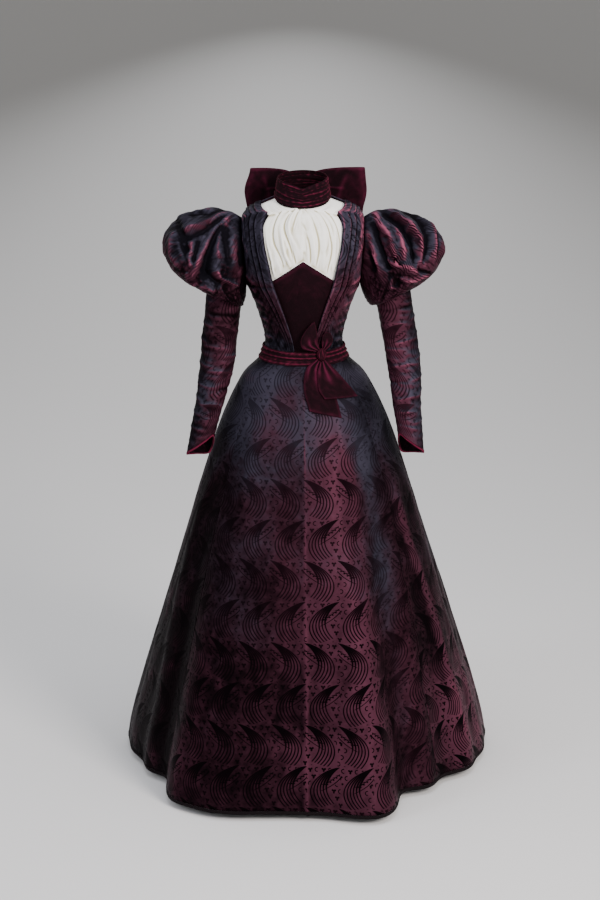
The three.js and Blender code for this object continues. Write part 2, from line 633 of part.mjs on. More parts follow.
const SIDES = [
  { word: "left", side: 1, arm: LEFT_ARM, full: 124, reach: NECK_BOW.leftReach },
  { word: "right", side: -1, arm: RIGHT_ARM, full: 139, reach: NECK_BOW.rightReach },
];
for (const { word, side, arm, full, reach } of SIDES) {
  add(`bodice_front_${word}`, bodiceFront(side), SHOT_SILK);
  add(`bodice_back_${word}`, bodiceBack(side), SHOT_SILK);
  add(`revers_${word}`, revers(side), SHOT_SILK);
  add(`sleeve_${word}`, sleeve(arm, side), SHOT_SILK);
  add(`sleeve_puff_${word}`, puff(arm, side, full), SHOT_SILK);
  add(`cuff_binding_${word}`, cuffBinding(arm, side), VELVET);
  add(`neck_bow_loop_${word}`, neckLoop(side, reach), VELVET);
}
add("plastron", plastron(), VELVET);
add("chemisette", chemisette(), CREAM_SILK);
add("collar", collar(), VELVET);
add("neck_bow_knot", knot(...NECK_BOW.knot), VELVET, [0, NECK_BOW.knotBack, NECK_BOW.height]);

add("sash", sash(), VELVET);
for (const [name, rows] of Object.entries(SASH_PIECES)) add(name, sashPiece(rows), VELVET);
const sashFront = frontPoint(SASH_KNOT.x, SASH_KNOT.height, SASH.lift + CLOTH + SASH.pleatDepth + SASH_KNOT.size[1]);
add("sash_knot", knot(...SASH_KNOT.size), VELVET, [sashFront.x, sashFront.y - 2.2, sashFront.z]);

export default dress;
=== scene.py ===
# %% [markdown]
# # A worn silk afternoon dress
# A dress of the 1890s keeps the shape of the body that wears it: a close bodice, ballooned sleeve heads over
# tight sleeves, a velvet stock collar and sash, and a skirt cut in gores that flares to the floor.
# Each piece here is one sheet of cloth. Its form is a function of two numbers, across and along, worked out
# on a grid with numpy. That is chosen over sculpting because the same functions give the folds, the pattern's
# place on the cloth and the size that the piece was cut to.

import math

import bpy
import numpy as np
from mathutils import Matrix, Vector


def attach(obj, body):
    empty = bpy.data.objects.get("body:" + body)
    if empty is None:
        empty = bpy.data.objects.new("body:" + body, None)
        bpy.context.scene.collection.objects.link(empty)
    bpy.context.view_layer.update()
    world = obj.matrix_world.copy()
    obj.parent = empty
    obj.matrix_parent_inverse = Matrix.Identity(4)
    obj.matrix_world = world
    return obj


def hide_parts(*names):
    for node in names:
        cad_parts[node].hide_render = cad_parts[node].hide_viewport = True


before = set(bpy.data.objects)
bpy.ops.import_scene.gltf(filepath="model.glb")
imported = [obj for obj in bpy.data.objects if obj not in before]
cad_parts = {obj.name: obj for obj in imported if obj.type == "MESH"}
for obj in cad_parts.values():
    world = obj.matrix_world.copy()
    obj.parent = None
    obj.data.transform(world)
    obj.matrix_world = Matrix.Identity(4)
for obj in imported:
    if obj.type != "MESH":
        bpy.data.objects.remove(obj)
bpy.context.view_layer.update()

# %% [markdown]
# ## Sizes
# A dressmaker works from heights above the floor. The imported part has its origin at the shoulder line, so
# every height is lowered by the shoulder's height as a piece is finished. Sizes are in millimetres until
# then.

# %% Sizes and small curves
SHOULDER = 1365.0
WAIST = 1045.0
HEM = 25.0
CLOTH = 2.0  # a wall of silk or velvet in the solids
THIN_WALL = 1.6  # a wall of the revers or the chemisette in the solids
GAP = 0.3  # between two solids at a seam
print("skirt:", WAIST - HEM, "mm long, and the waist is", SHOULDER - WAIST, "mm below the shoulder seam")


def mix(a, b, share):
    """A straight blend from a to b."""
    return a + (b - a) * share


def smooth(x):
    """A soft step from 0 to 1: three times the square less twice the cube."""
    x = np.clip(x, 0, 1)
    return x * x * (3 - 2 * x)


def stack(x, y, z):
    """Points from their three parts."""
    return np.stack(np.broadcast_arrays(x, y, z), axis=-1).astype(float)


def unit(v):
    """The same directions at length one."""
    return v / np.maximum(np.linalg.norm(v, axis=-1, keepdims=True), 1e-9)


def along(table, at, column):
    """Reads a column of a table at any place by a smooth cubic through its rows.
    The slope at a row is the slope between its two neighbours."""
    table = np.asarray(table, float)
    x, y = table[:, 0], table[:, column]
    at = np.clip(at, x[0], x[-1])
    slope = np.gradient(y, x)
    slope[1:-1] = (y[2:] - y[:-2]) / (x[2:] - x[:-2])
    i = np.clip(np.searchsorted(x, at) - 1, 0, len(x) - 2)
    span, rise = x[i + 1] - x[i], y[i + 1] - y[i]
    t = (at - x[i]) / span
    bend = (slope[i] * span - rise) * (1 - t) + (rise - slope[i + 1] * span) * t
    return y[i] + rise * t + t * (1 - t) * bend


# %% [markdown]
# ## One sheet of cloth
# A cut piece is a grid of points. Each point also keeps where it lies on the flat cloth as its UV, in metres,
# so that a woven figure stays the right size wherever the cloth turns. Solidify gives the sheet its
# thickness, which is what makes its edges catch the light. Four attributes are kept on the points. Two are
# worked out from the form. One is how far the cloth faces up, which the silk uses to paint slate where it
# faces up, as a painted reflection. The other is how far a point stands out on a ridge or lies in a hollow,
# from which ridges are painted brighter as painted highlights and hollows darker as painted shade. Two are
# laid piece by piece: the painted light and shade the cloth shows there, and how much slate, which is partly
# the warp's own colour and partly painted reflection.

# %% Grids and sheets
total_triangles = 0
# the two attributes laid piece by piece: painted light and shade, and slate that is partly the warp's colour and
# partly painted reflection
USUAL_PAINTED_TONES = {"lustre": 0.4, "slate": 0.0}


def grid(columns, rows):
    """Two arrays of shares from 0 to 1: across (s) and along (t)."""
    t, s = np.meshgrid(np.linspace(0, 1, rows + 1), np.linspace(0, 1, columns + 1), indexing="ij")
    return s, t


def normals(points, ring=False):
    """The cross product of the steps across and along the grid, at length one. A ring's first and last
    columns are the same line, so they share the mean of their two normals."""
    n = unit(np.cross(np.gradient(points, axis=1), np.gradient(points, axis=0)))
    if ring:
        n[:, 0] = n[:, -1] = unit(n[:, 0] + n[:, -1])
    return n


def raised(points, height, out, ring=False):
    """Moves each point along its normal, on the side that out gives."""
    n = normals(points, ring)
    return points + n * (np.sign(np.sum(n * out)) * height)[..., None]


def outward(points, middle=(0, 0)):
    """Directions straight away from an upright line through the middle."""
    away = points - np.array([middle[0], middle[1], 0.0])
    away[..., 2] = 0
    return away


def flat_place(points):
    """Where each point lies on the flat cloth, in millimetres: the length walked along its row from the
    middle column, and the length walked down the middle column."""
    steps = np.linalg.norm(np.diff(points, axis=1), axis=2)
    u = np.concatenate([np.zeros((len(points), 1)), np.cumsum(steps, axis=1)], axis=1)
    middle = points.shape[1] // 2
    u = u - u[:, middle : middle + 1]
    down = np.linalg.norm(np.diff(points[:, middle], axis=0), axis=1)
    v = np.concatenate([[0], np.cumsum(down)])
    return np.stack([u, np.repeat(v[:, None], points.shape[1], axis=1)], axis=2)


def hollows(points, n, reach):
    """How far each point stands above (or lies below) the mean of its neighbours reach cells away, along its
    normal, in millimetres."""
    p = np.pad(points, ((reach, reach), (reach, reach), (0, 0)), mode="reflect", reflect_type="odd")
    mean = (p[2 * reach :, reach:-reach] + p[: -2 * reach, reach:-reach]) / 4
    mean = mean + (p[reach:-reach, 2 * reach :] + p[reach:-reach, : -2 * reach]) / 4
    return np.sum((points - mean) * n, axis=2)


def sheet(
    name,
    points,
    node,
    slot,
    material,
    held,
    place=None,
    out=None,
    ring=False,
    thickness=1.2,
    rests_on=(),
    **painted_tones,
):
    global total_triangles
    shape = points.shape[:2]
    rows, columns = shape[0] - 1, shape[1] - 1
    place = flat_place(points) if place is None else place
    out = outward(points) if out is None else out
    painted_tones = {key: np.broadcast_to(painted_tones.get(key, usual), shape) for key, usual in USUAL_PAINTED_TONES.items()}
    if np.sum(normals(points) * out) < 0:
        points, place = points[:, ::-1], place[:, ::-1]
        painted_tones = {key: values[:, ::-1] for key, values in painted_tones.items()}
    n = normals(points, ring)
    used = columns if ring else columns + 1
    mesh = bpy.data.meshes.new(name)
    j, i = np.meshgrid(np.arange(rows), np.arange(columns), indexing="ij")
    corners = [(j, i), (j, i + 1), (j + 1, i + 1), (j + 1, i)]
    faces = np.stack([a * used + (b % used) for a, b in corners], axis=-1).reshape(-1, 4)
    vertices = (points[:, :used] - [0, 0, SHOULDER]).reshape(-1, 3) / 1000
    mesh.from_pydata(vertices.tolist(), [], faces.tolist())
    loops = np.stack([place[a, b] for a, b in corners], axis=-2).reshape(-1, 2) / 1000
    mesh.uv_layers.new(name="cloth").data.foreach_set("uv", loops.ravel())
    # faces_up paints slate reflection on upward faces; stands_out paints highlights on ridges and shade in hollows
    facts = {"faces_up": n[..., 2], "stands_out": hollows(points, n, 3), **painted_tones}
    for fact, values in facts.items():
        mesh.attributes.new(fact, "FLOAT", "POINT").data.foreach_set("value", values[:, :used].ravel())
    mesh.polygons.foreach_set("use_smooth", np.ones(len(faces), bool))
    mesh.materials.append(material)
    piece = bpy.data.objects.new(name, mesh)
    bpy.context.collection.objects.link(piece)
    wall = piece.modifiers.new("cloth thickness", "SOLIDIFY")
    wall.thickness, wall.offset = thickness / 1000, -1
    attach(piece, "root")
    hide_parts(node)
    total_triangles += 4 * len(faces)


s, t = grid(10, 6)
tried = flat_place(stack(100 * s, 0 * s, 60 * t))
print("a level sheet of 100 by 60 mm unrolls to", np.ptp(tried[..., 0]), "by", np.ptp(tried[..., 1]), "mm")

# %% [markdown]
# ## Creases
# A fold in cloth is long in one direction and short in the other, and its ridge is sharper than its hollow.
# Creases are laid one by one: a row gives the two ends of a line on the flat cloth, in millimetres, how wide the
# crease is and how far it stands out or sinks in. Fine crumpling, which nobody lays by hand, is a sum of
# slanted waves whose lengths don't divide into each other, so that it never repeats.

# %% Creases and crumpling
WAVES = [(0.3, 1.0), (1.27, 0.81), (2.19, 1.31), (2.83, 0.67), (0.81, 1.61)]  # turn in radians, and fineness


def creases(table, x, y, sharp=1.5, scale=(1, 1)):
    """Each row (x0, y0, x1, y1, width, depth) moves the cloth by its depth times a bell of the distance from
    the line, faded over the line's ends. A sharp of 2 is round, and 1 is a knife edge. Where the table gives
    its ends as shares, scale says how many millimetres a whole share is, across and along."""
    out = np.zeros_like(x, dtype=float)
    for *ends, width, depth in table:
        x0, y0, x1, y1 = (place * size for place, size in zip(ends, scale * 2))
        dx, dy = x1 - x0, y1 - y0
        t = ((x - x0) * dx + (y - y0) * dy) / (dx * dx + dy * dy)
        bend = 0.12 * np.hypot(dx, dy) * np.sin(np.clip(t, 0, 1) * math.pi) * np.sign(dx + dy + 0.1)
        away = np.abs(((x - x0) * dy - (y - y0) * dx) / np.hypot(dx, dy) + bend * 0.35)
        faded = smooth((t + 0.1) / 0.35) * smooth((1.1 - t) / 0.35)
        out += depth * np.exp(-((away / width) ** sharp)) * faded
    return out


def crumple(x, y, size, seed=0.0):
    """A sum of five slanted waves about size millimetres long, bent by one another, from about -1 to 1."""
    out = np.zeros_like(x, dtype=float)
    bend = 0.0
    for k, (turn, share) in enumerate(WAVES):
        slanted = x * math.cos(turn) + y * math.sin(turn)
        phase = slanted * 2 * math.pi * share / size + seed * (k + 1) + bend
        out += np.sin(phase) / (1 + 0.4 * k)
        bend = 1.3 * np.sin(phase + 0.7)
    return out / 2.6


def wandering(table, angle, t, swell, swells, phase, sharp):
    """Folds that run round a band. Each row is how far up the band its fold lies, how far it wanders, how many
    times round, where, its half width as a share of the band, and its depth in millimetres. A fold swells
    and sinks by the share called swell, so many times round as swells says."""
    out = np.zeros_like(t)
    for rise, wander, times, start, width, depth in table:
        middle = rise + wander * np.sin(np.radians(angle) * times + start)
        strength = 1 - swell + swell * np.sin(np.radians(angle) * swells + start * phase)
        out += depth * strength * np.exp(-((np.abs(t - middle) / width) ** sharp))
    return out


s, t = grid(60, 60)
tried = crumple(300 * s, 300 * t, 30)
print(f"crumpling on 300 by 300 mm runs from {tried.min():.2f} to {tried.max():.2f}")


# %% [markdown]
# ## Colours and a way to lay out nodes
# Dyers' colours are written as hex, as on a screen, and turned to linear light by one function. One helper
# adds a shader node with its settings and what feeds it. The figure in the silk is a long sum, so it is
# written as a table with one row for each step.

# %% Colour and node helpers


def linear(code):
    """An sRGB hex colour as linear light, with an alpha of one."""
    c = np.array([int(code[i : i + 2], 16) for i in (1, 3, 5)]) / 255
    return (*np.where(c <= 0.04045, c / 12.92, ((c + 0.055) / 1.055) ** 2.4).tolist(), 1.0)


def add(tree, kind, settings=None, **inputs):
    """Adds one node. settings are its own properties. An input is named for its socket, or in0, in1 by its
    order, and is a value or the socket that feeds it."""
    node = tree.nodes.new("ShaderNode" + kind)
    for key, value in (settings or {}).items():
        setattr(node, key, value)
    for key, value in inputs.items():
        socket = node.inputs[int(key[2:])] if key.startswith("in") else node.inputs[key.replace("_", " ")]
        if isinstance(value, bpy.types.NodeSocket):
            tree.links.new(value, socket)
        else:
            socket.default_value = value
    return node


def fabric(name, **sockets):
    """A new material with its shader, and the shader's own sockets set."""
    material = bpy.data.materials.new(name)
    material.use_nodes = True
    shader = material.node_tree.nodes["Principled BSDF"]
    for key, value in sockets.items():
        shader.inputs[key.replace("_", " ")].default_value = value
    return material, material.node_tree, shader


def steps(tree, rows, known):
    """Works a table of sums. Each row is the result's name, the kind of sum and what goes into it: a number
    or the name of an earlier result."""
    for name, operation, *terms in rows:
        inputs = {f"in{k}": known[v] if isinstance(v, str) else v for k, v in enumerate(terms)}
        known[name] = add(tree, "Math", {"operation": operation}, **inputs).outputs[0]
    return known


MIXED = {"data_type": "RGBA"}  # a Mix node that mixes colours
SOFT_STEP = {"interpolation_type": "SMOOTHSTEP"}  # a Map Range node with no corners
CLOTH_UV = {"uv_map": "cloth"}  # a UV Map node that reads the place on the flat cloth
print("mid grey #808080 is", round(linear("#808080")[0], 3), "in linear light")


# %% [markdown]
# ## The shot silk damask
# Shot silk is woven with a warp of one colour and a weft of another, here slate and wine, so each fold shows
# more of one or the other. A damask's figure is the same silk woven the other way round, which lies flat and
# dark on the bright ground. The figure here is a leaf that curls over, its veins running together at the tip,
# with a twig in its open half and sprigs and curls between. Rows lean left and right in turn. It is worked
# out from the cloth's own UV, 79 mm across and 95 mm down for each leaf, as a designer would chart a repeat.

# %% Silk: the figure as a table of sums
LEAF_ACROSS, LEAF_DOWN = 0.079, 0.095
FIGURE = [
    # which row the point is in, and how far down it
    ("down", "DIVIDE", "v", LEAF_DOWN),
    ("row", "FLOOR", "down"),
    ("q", "SUBTRACT", "down", "row"),
    ("odd", "FLOORED_MODULO", "row", 2.0),
    ("lean", "MULTIPLY_ADD", "odd", -2.0, 1.0),
    # how far across, mirrored on odd rows, with each row stepped sideways a little
    ("wide", "DIVIDE", "u", LEAF_ACROSS),
    ("turned", "MULTIPLY", "wide", "lean"),
    ("shifted", "MULTIPLY_ADD", "odd", 0.94, "turned"),
    ("column", "FLOOR", "shifted"),
    ("p", "SUBTRACT", "shifted", "column"),
    # the spine bows to one side as it runs down, and w is the distance from it in half widths
    ("q_left", "SUBTRACT", 1.0, "q"),
    ("bow", "MULTIPLY", "q", "q_left"),
    ("spine", "MULTIPLY_ADD", "bow", -1.55, 1.0),
    ("from_spine", "SUBTRACT", "p", "spine"),
    ("broad", "SQRT", "q"),
    ("half", "MULTIPLY_ADD", "broad", 0.72, 0.01),
    ("w", "DIVIDE", "from_spine", "half"),
    # the veins run together near the tip and thin out below, to a ragged end
    ("vein_beat", "MULTIPLY", "w", 6.0),
    ("vein_share", "FRACT", "vein_beat"),
    ("vein_off", "SUBTRACT", "vein_share", 0.5),
    ("vein_near", "ABSOLUTE", "vein_off"),
    ("vein_fade", "MULTIPLY_ADD", "q", -0.95, 0.78),
    ("vein_thick", "MULTIPLY_ADD", "w", 0.12, "vein_fade"),
    ("vein_least", "MAXIMUM", "vein_thick", 0.2),
    ("vein_in", "SUBTRACT", "vein_least", "vein_near"),
    ("vein_soft", "MULTIPLY_ADD", "vein_in", 6.0, 0.5),
    ("past_edge", "GREATER_THAN", "w", -1.02),
    ("before_spine", "LESS_THAN", "w", 0.02),
    ("leaf_side", "MULTIPLY", "past_edge", "before_spine"),
    ("ragged", "MULTIPLY_ADD", "w", 0.16, "q"),
    ("above_end", "LESS_THAN", "ragged", 0.88),
    ("leaf_part", "MULTIPLY", "leaf_side", "above_end"),
    ("veins", "MULTIPLY", "vein_soft", "leaf_part"),
    # the open half's edge leaves the tip, swells out and crosses back over the veins
    ("q_square", "MULTIPLY", "q", "q"),
    ("edge_place", "MULTIPLY_ADD", "q_square", -3.9, 1.05),
    ("edge_off", "SUBTRACT", "w", "edge_place"),
    ("edge_near", "ABSOLUTE", "edge_off"),
    ("edge_room", "DIVIDE", 0.021, "half"),
    ("edge", "LESS_THAN", "edge_near", "edge_room"),
    ("edge_upper", "LESS_THAN", "q", 0.6),
    ("outline", "MULTIPLY", "edge", "edge_upper"),
    # a barbed twig in the open half
    ("twig_line", "MULTIPLY_ADD", "q", -3.1, 1.2),
    ("twig_off", "SUBTRACT", "w", "twig_line"),
    ("twig_near", "ABSOLUTE", "twig_off"),
    ("barb_slant", "MULTIPLY_ADD", "twig_near", -0.12, "q"),
    ("barb_beat", "MULTIPLY", "barb_slant", 17.0),
    ("barb_share", "FRACT", "barb_beat"),
    ("barb", "LESS_THAN", "barb_share", 0.42),
    ("barb_reach", "LESS_THAN", "twig_near", 0.2),
    ("barbs", "MULTIPLY", "barb", "barb_reach"),
    ("rib", "LESS_THAN", "twig_near", 0.05),
    ("twig_parts", "MAXIMUM", "barbs", "rib"),
    ("twig_low", "GREATER_THAN", "q", 0.16),
    ("twig_high", "LESS_THAN", "q", 0.46),
    ("twig_span", "MULTIPLY", "twig_low", "twig_high"),
    ("twig", "MULTIPLY", "twig_parts", "twig_span"),
    # small cells between the leaves, with a three-leaved sprig or a curl in turn
    ("cell_x", "MULTIPLY", "shifted", 5.0),
    ("cell_down", "MULTIPLY", "q", 6.0),
    ("cell_row", "FLOOR", "cell_down"),
    ("cell_step", "MULTIPLY_ADD", "cell_row", 0.5, "cell_x"),
    ("cell_column", "FLOOR", "cell_step"),
    ("x_share", "SUBTRACT", "cell_step", "cell_column"),
    ("x", "SUBTRACT", "x_share", 0.5),
    ("y_share", "SUBTRACT", "cell_down", "cell_row"),
    ("y", "SUBTRACT", "y_share", 0.5),
    ("turn", "ARCTAN2", "y", "x"),
    ("x_square", "MULTIPLY", "x", "x"),
    ("square", "MULTIPLY_ADD", "y", "y", "x_square"),
    ("r", "SQRT", "square"),
    ("lobe_turn", "MULTIPLY_ADD", "turn", 1.5, 0.785),
    ("lobe_wave", "COSINE", "lobe_turn"),
    ("lobe", "ABSOLUTE", "lobe_wave"),
    ("lobe_reach", "MULTIPLY_ADD", "lobe", 0.26, 0.12),
    ("sprig", "LESS_THAN", "r", "lobe_reach"),
    ("ring_off", "SUBTRACT", "r", 0.29),
    ("ring_near", "ABSOLUTE", "ring_off"),
    ("ring", "LESS_THAN", "ring_near", 0.075),
    ("open_side", "LESS_THAN", "x", 0.1),
    ("curl", "MULTIPLY", "ring", "open_side"),
    ("cell_sum", "ADD", "cell_column", "cell_row"),
    ("which", "FLOORED_MODULO", "cell_sum", 2.0),
    ("swap", "SUBTRACT", "curl", "sprig"),
    ("picked", "MULTIPLY_ADD", "which", "swap", "sprig"),
    ("room", "MAXIMUM", "edge_place", 0.0),
    ("past_room", "SUBTRACT", "w", "room"),
    ("clear_right", "GREATER_THAN", "past_room", 0.12),
    ("clear_left", "LESS_THAN", "w", -1.14),
    ("clear_side", "MAXIMUM", "clear_left", "clear_right"),
    ("clear_low", "GREATER_THAN", "ragged", 0.93),
    ("clear", "MAXIMUM", "clear_side", "clear_low"),
    ("small_soft", "MULTIPLY", "picked", 0.9),
    ("small", "MULTIPLY", "small_soft", "clear"),
    # all of it together, from 0 on the ground to 1 on the figure
    ("leaf", "MAXIMUM", "veins", "outline"),
    ("twig_and_small", "MAXIMUM", "twig", "small"),
    ("all", "MAXIMUM", "leaf", "twig_and_small"),
    ("low", "MAXIMUM", "all", 0.0),
    ("figure", "MINIMUM", "low", 1.0),
]
print("leaf repeat:", LEAF_ACROSS * 1000, "by", LEAF_DOWN * 1000, "mm,", len(FIGURE), "steps")

# %% [markdown]
# The ground shows wine where the cloth faces forward and slate where it faces up or away, as shot silk does.
# Here that shift is a painted reflection: it is worked out from the way the cloth faces and laid piece by
# piece as an attribute of slate, with a random wander on top. Its brightness is painted light and shade. A
# satin's floats all lie one way, so a panel glows where they face the light and goes nearly black beside it.
# That painted highlight and shade is laid on each piece as an attribute, with ridges painted brighter and a
# slow cloudiness on top, because a long silk never hangs quite evenly. The weave's threads are about 0.2 mm
# apart, too fine to draw, so a rib of 1.1 mm stands for them.

# %% Silk: the material
# colours of the silk's ground, from painted shade through its middle tones to the painted highlight
WINE_PAINTED_HIGHLIGHT, WINE_MID, WINE_PAINTED_SHADE = "#85475c", "#442431", "#0c0609"
SLATE_MID, SLATE_PAINTED_SHADE, FIGURE_DARK, SILK_SHINE = "#32303c", "#0d0c11", "#060305", "#96707e"
RIB_APART = 0.0011  # metres


def shot_silk(name, slate_bias, wrinkles, cloudiness, ridge_highlight, contrast=0.92):
    """Shot silk damask. slate_bias moves the whole cloth towards slate, wrinkles is how strong its fine
    crumpling is, cloudiness how much its painted light and shade wander, ridge_highlight how much a ridge is
    painted brighter as a painted highlight, and contrast how clearly the figure shows."""
    material, tree, shader = fabric(name, Metallic=0.12)
    shader.inputs["Specular IOR Level"].default_value = 0.02
    shader.inputs["Specular Tint"].default_value = linear(SILK_SHINE)
    uv = add(tree, "UVMap", CLOTH_UV).outputs[0]
    parts = add(tree, "SeparateXYZ", in0=uv)
    known = steps(tree, FIGURE, {"u": parts.outputs[0], "v": parts.outputs[1]})
    for key, fact in (("up", "faces_up"), ("slate", "slate"), ("stands", "stands_out"), ("lustre", "lustre")):
        known[key] = add(tree, "Attribute", {"attribute_name": fact}).outputs["Fac"]
    place = add(tree, "TexCoord").outputs["Object"]
    known["cloud"] = add(tree, "TexNoise", in0=place, Scale=9.0, Detail=3.0, Roughness=0.55).outputs["Fac"]
    known["fine"] = add(tree, "TexNoise", in0=uv, Scale=60.0, Detail=3.0, Roughness=0.6).outputs["Fac"]
    steps(
        tree,
        [
            # from wine to slate: a painted reflection by the way it faces and by the attribute of slate, and a random
            # wander by two sizes of cloudiness
            ("from_up", "MULTIPLY_ADD", "up", 1.6, slate_bias - 0.7),
            ("laid", "ADD", "slate", "from_up"),
            ("from_cloud", "MULTIPLY_ADD", "cloud", 0.9, "laid"),
            ("shot", "MULTIPLY_ADD", "fine", 0.3, "from_cloud"),
            # from dark to bright, as painted light and shade: by the attribute laid on each piece, by cloudiness, and
            # as a painted highlight on ridges
            ("cloud_part", "MULTIPLY_ADD", "cloud", cloudiness, -0.5 * cloudiness),
            ("with_cloud", "ADD", "lustre", "cloud_part"),
            ("with_ridge", "MULTIPLY_ADD", "stands", ridge_highlight, "with_cloud"),
            ("bright", "MULTIPLY_ADD", "fine", 0.3, "with_ridge"),
            # the weave's relief: the ribs, and the figure lying lower than the ground
            ("rib_beat", "MULTIPLY", "v", 2 * math.pi / RIB_APART),
            ("rib", "SINE", "rib_beat"),
            ("relief", "MULTIPLY_ADD", "figure", -0.6, 1.0),
            ("height", "MULTIPLY_ADD", "rib", 0.12, "relief"),
            # the figure shows less where slate is painted as a reflection
            ("contrast", "MULTIPLY_ADD", "slate", -0.7, contrast),
            ("figure_share", "MULTIPLY", "figure", "contrast"),
        ],
        known,
    )
    # the ground's colour follows the painted light and shade: painted shade, middle and painted highlight are lit and
    # shaded copies of one silk
    shot = add(tree, "MapRange", SOFT_STEP, in0=known["shot"], in1=0.3, in2=0.95).outputs[0]
    half_lit = add(tree, "MapRange", SOFT_STEP, in0=known["bright"], in1=0.1, in2=0.65).outputs[0]
    full_lit = add(tree, "MapRange", SOFT_STEP, in0=known["bright"], in1=0.6, in2=1.35).outputs[0]
    deep = add(tree, "Mix", MIXED, in0=shot, in6=linear(WINE_PAINTED_SHADE), in7=linear(SLATE_PAINTED_SHADE)).outputs[2]
    middle = add(tree, "Mix", MIXED, in0=shot, in6=linear(WINE_MID), in7=linear(SLATE_MID)).outputs[2]
    lower = add(tree, "Mix", MIXED, in0=half_lit, in6=deep, in7=middle).outputs[2]
    ground = add(tree, "Mix", MIXED, in0=full_lit, in6=lower, in7=linear(WINE_PAINTED_HIGHLIGHT)).outputs[2]
    colour = add(tree, "Mix", MIXED, in0=known["figure_share"], in6=ground, in7=linear(FIGURE_DARK))
    tree.links.new(colour.outputs[2], shader.inputs["Base Color"])
    rough = add(tree, "MapRange", in0=known["figure"], in3=0.4, in4=0.62)
    tree.links.new(rough.outputs[0], shader.inputs["Roughness"])
    weave = add(tree, "Bump", Strength=0.3, Distance=0.0003, Height=known["height"]).outputs[0]
    crush = add(tree, "TexNoise", in0=uv, Scale=38.0, Detail=3.0, Roughness=0.5, Distortion=0.6).outputs["Fac"]
    soft = add(tree, "Bump", Strength=wrinkles, Distance=0.0025, Height=crush, Normal=weave)
    tree.links.new(soft.outputs[0], shader.inputs["Normal"])
    return material


silk_skirt = shot_silk("shot silk damask, skirt", 0.0, 0.25, 0.45, 0.1)
silk_bodice = shot_silk("shot silk damask, bodice", 0.7, 0.5, 0.6, 0.3, 0.7)
silk_sleeve = shot_silk("shot silk damask, sleeves", 0.45, 0.7, 0.6, 0.1, 0.55)
silk_puff = shot_silk("shot silk damask, sleeve heads", 0.45, 0.9, 0.7, 0.12, 0.38)
print("silk materials made, each of", len(silk_skirt.node_tree.nodes), "nodes")

# %% [markdown]
# ## Velvet, cream silk and braid
# Velvet is cut pile, about 1.5 mm tall. It is nearly black looked at straight down into the pile, and glows
# at its edges and wherever the pile has been crushed over. So the base is very dark and a sheen carries the
# crimson. A ridge is painted brighter than a hollow, and the edges of the bows' loops and ends are painted
# bright, both as painted highlights. The chemisette is a thin cream silk crepe with painted shade in its
# hollows, painted darker and warmer there, and the hem's braid is black wool with short upright hairs.

# %% Velvet, cream silk and braid materials
CRIMSON_SHEEN = "#7a1a34"
# the cream's painted shade for its hollows, its colour on ridges, and a warmer tone laid at random
CREAM_PAINTED_SHADE, CREAM_RIDGE, CREAM_WARM = "#b3aa86", "#fffefa", "#e8e2ca"
BRAID_DEEP, BRAID_HAIR, BRAID_SHEEN = "#060405", "#150d11", "#3a2c34"


def velvet(name, deep, painted_glow, crush):
    """Silk velvet: deep is the pile's colour looked into, and painted_glow the colour of its painted highlight on
    ridges and wherever the attribute of painted light is high.
    """
    material, tree, shader = fabric(name, Roughness=0.9, Sheen_Weight=0.45, Sheen_Roughness=0.3)
    shader.inputs["Specular IOR Level"].default_value = 0.08
    shader.inputs["Sheen Tint"].default_value = linear(CRIMSON_SHEEN)
    uv = add(tree, "UVMap", CLOTH_UV).outputs[0]
    known = {"stands": add(tree, "Attribute", {"attribute_name": "stands_out"}).outputs["Fac"]}
    known["lustre"] = add(tree, "Attribute", {"attribute_name": "lustre"}).outputs["Fac"]
    pile = add(tree, "TexNoise", in0=uv, Scale=45.0, Detail=4.0, Roughness=0.6, Distortion=0.8)
    known["pile"] = pile.outputs["Fac"]
    known["nap"] = add(tree, "TexNoise", in0=uv, Scale=900.0, Detail=2.0).outputs["Fac"]
    steps(
        tree,
        [
            # painted highlight on ridges; the patches are the pile's own random mottling
            ("ridge", "MULTIPLY", "stands", 0.75 * crush),
            ("patch", "MULTIPLY_ADD", "pile", 1.0 * crush, -0.5 * crush - 0.4),
            ("mottled", "ADD", "ridge", "patch"),
            ("lit", "ADD", "mottled", "lustre"),
            ("height", "MULTIPLY_ADD", "pile", 3.0, "nap"),
        ],
        known,
    )
    share = add(tree, "MapRange", SOFT_STEP, in0=known["lit"], in1=-0.1, in2=0.9).outputs[0]
    colour = add(tree, "Mix", MIXED, in0=share, in6=linear(deep), in7=linear(painted_glow))
    tree.links.new(colour.outputs[2], shader.inputs["Base Color"])
    bump = add(tree, "Bump", Strength=0.4, Distance=0.0008, Height=known["height"])
    tree.links.new(bump.outputs[0], shader.inputs["Normal"])
    return material


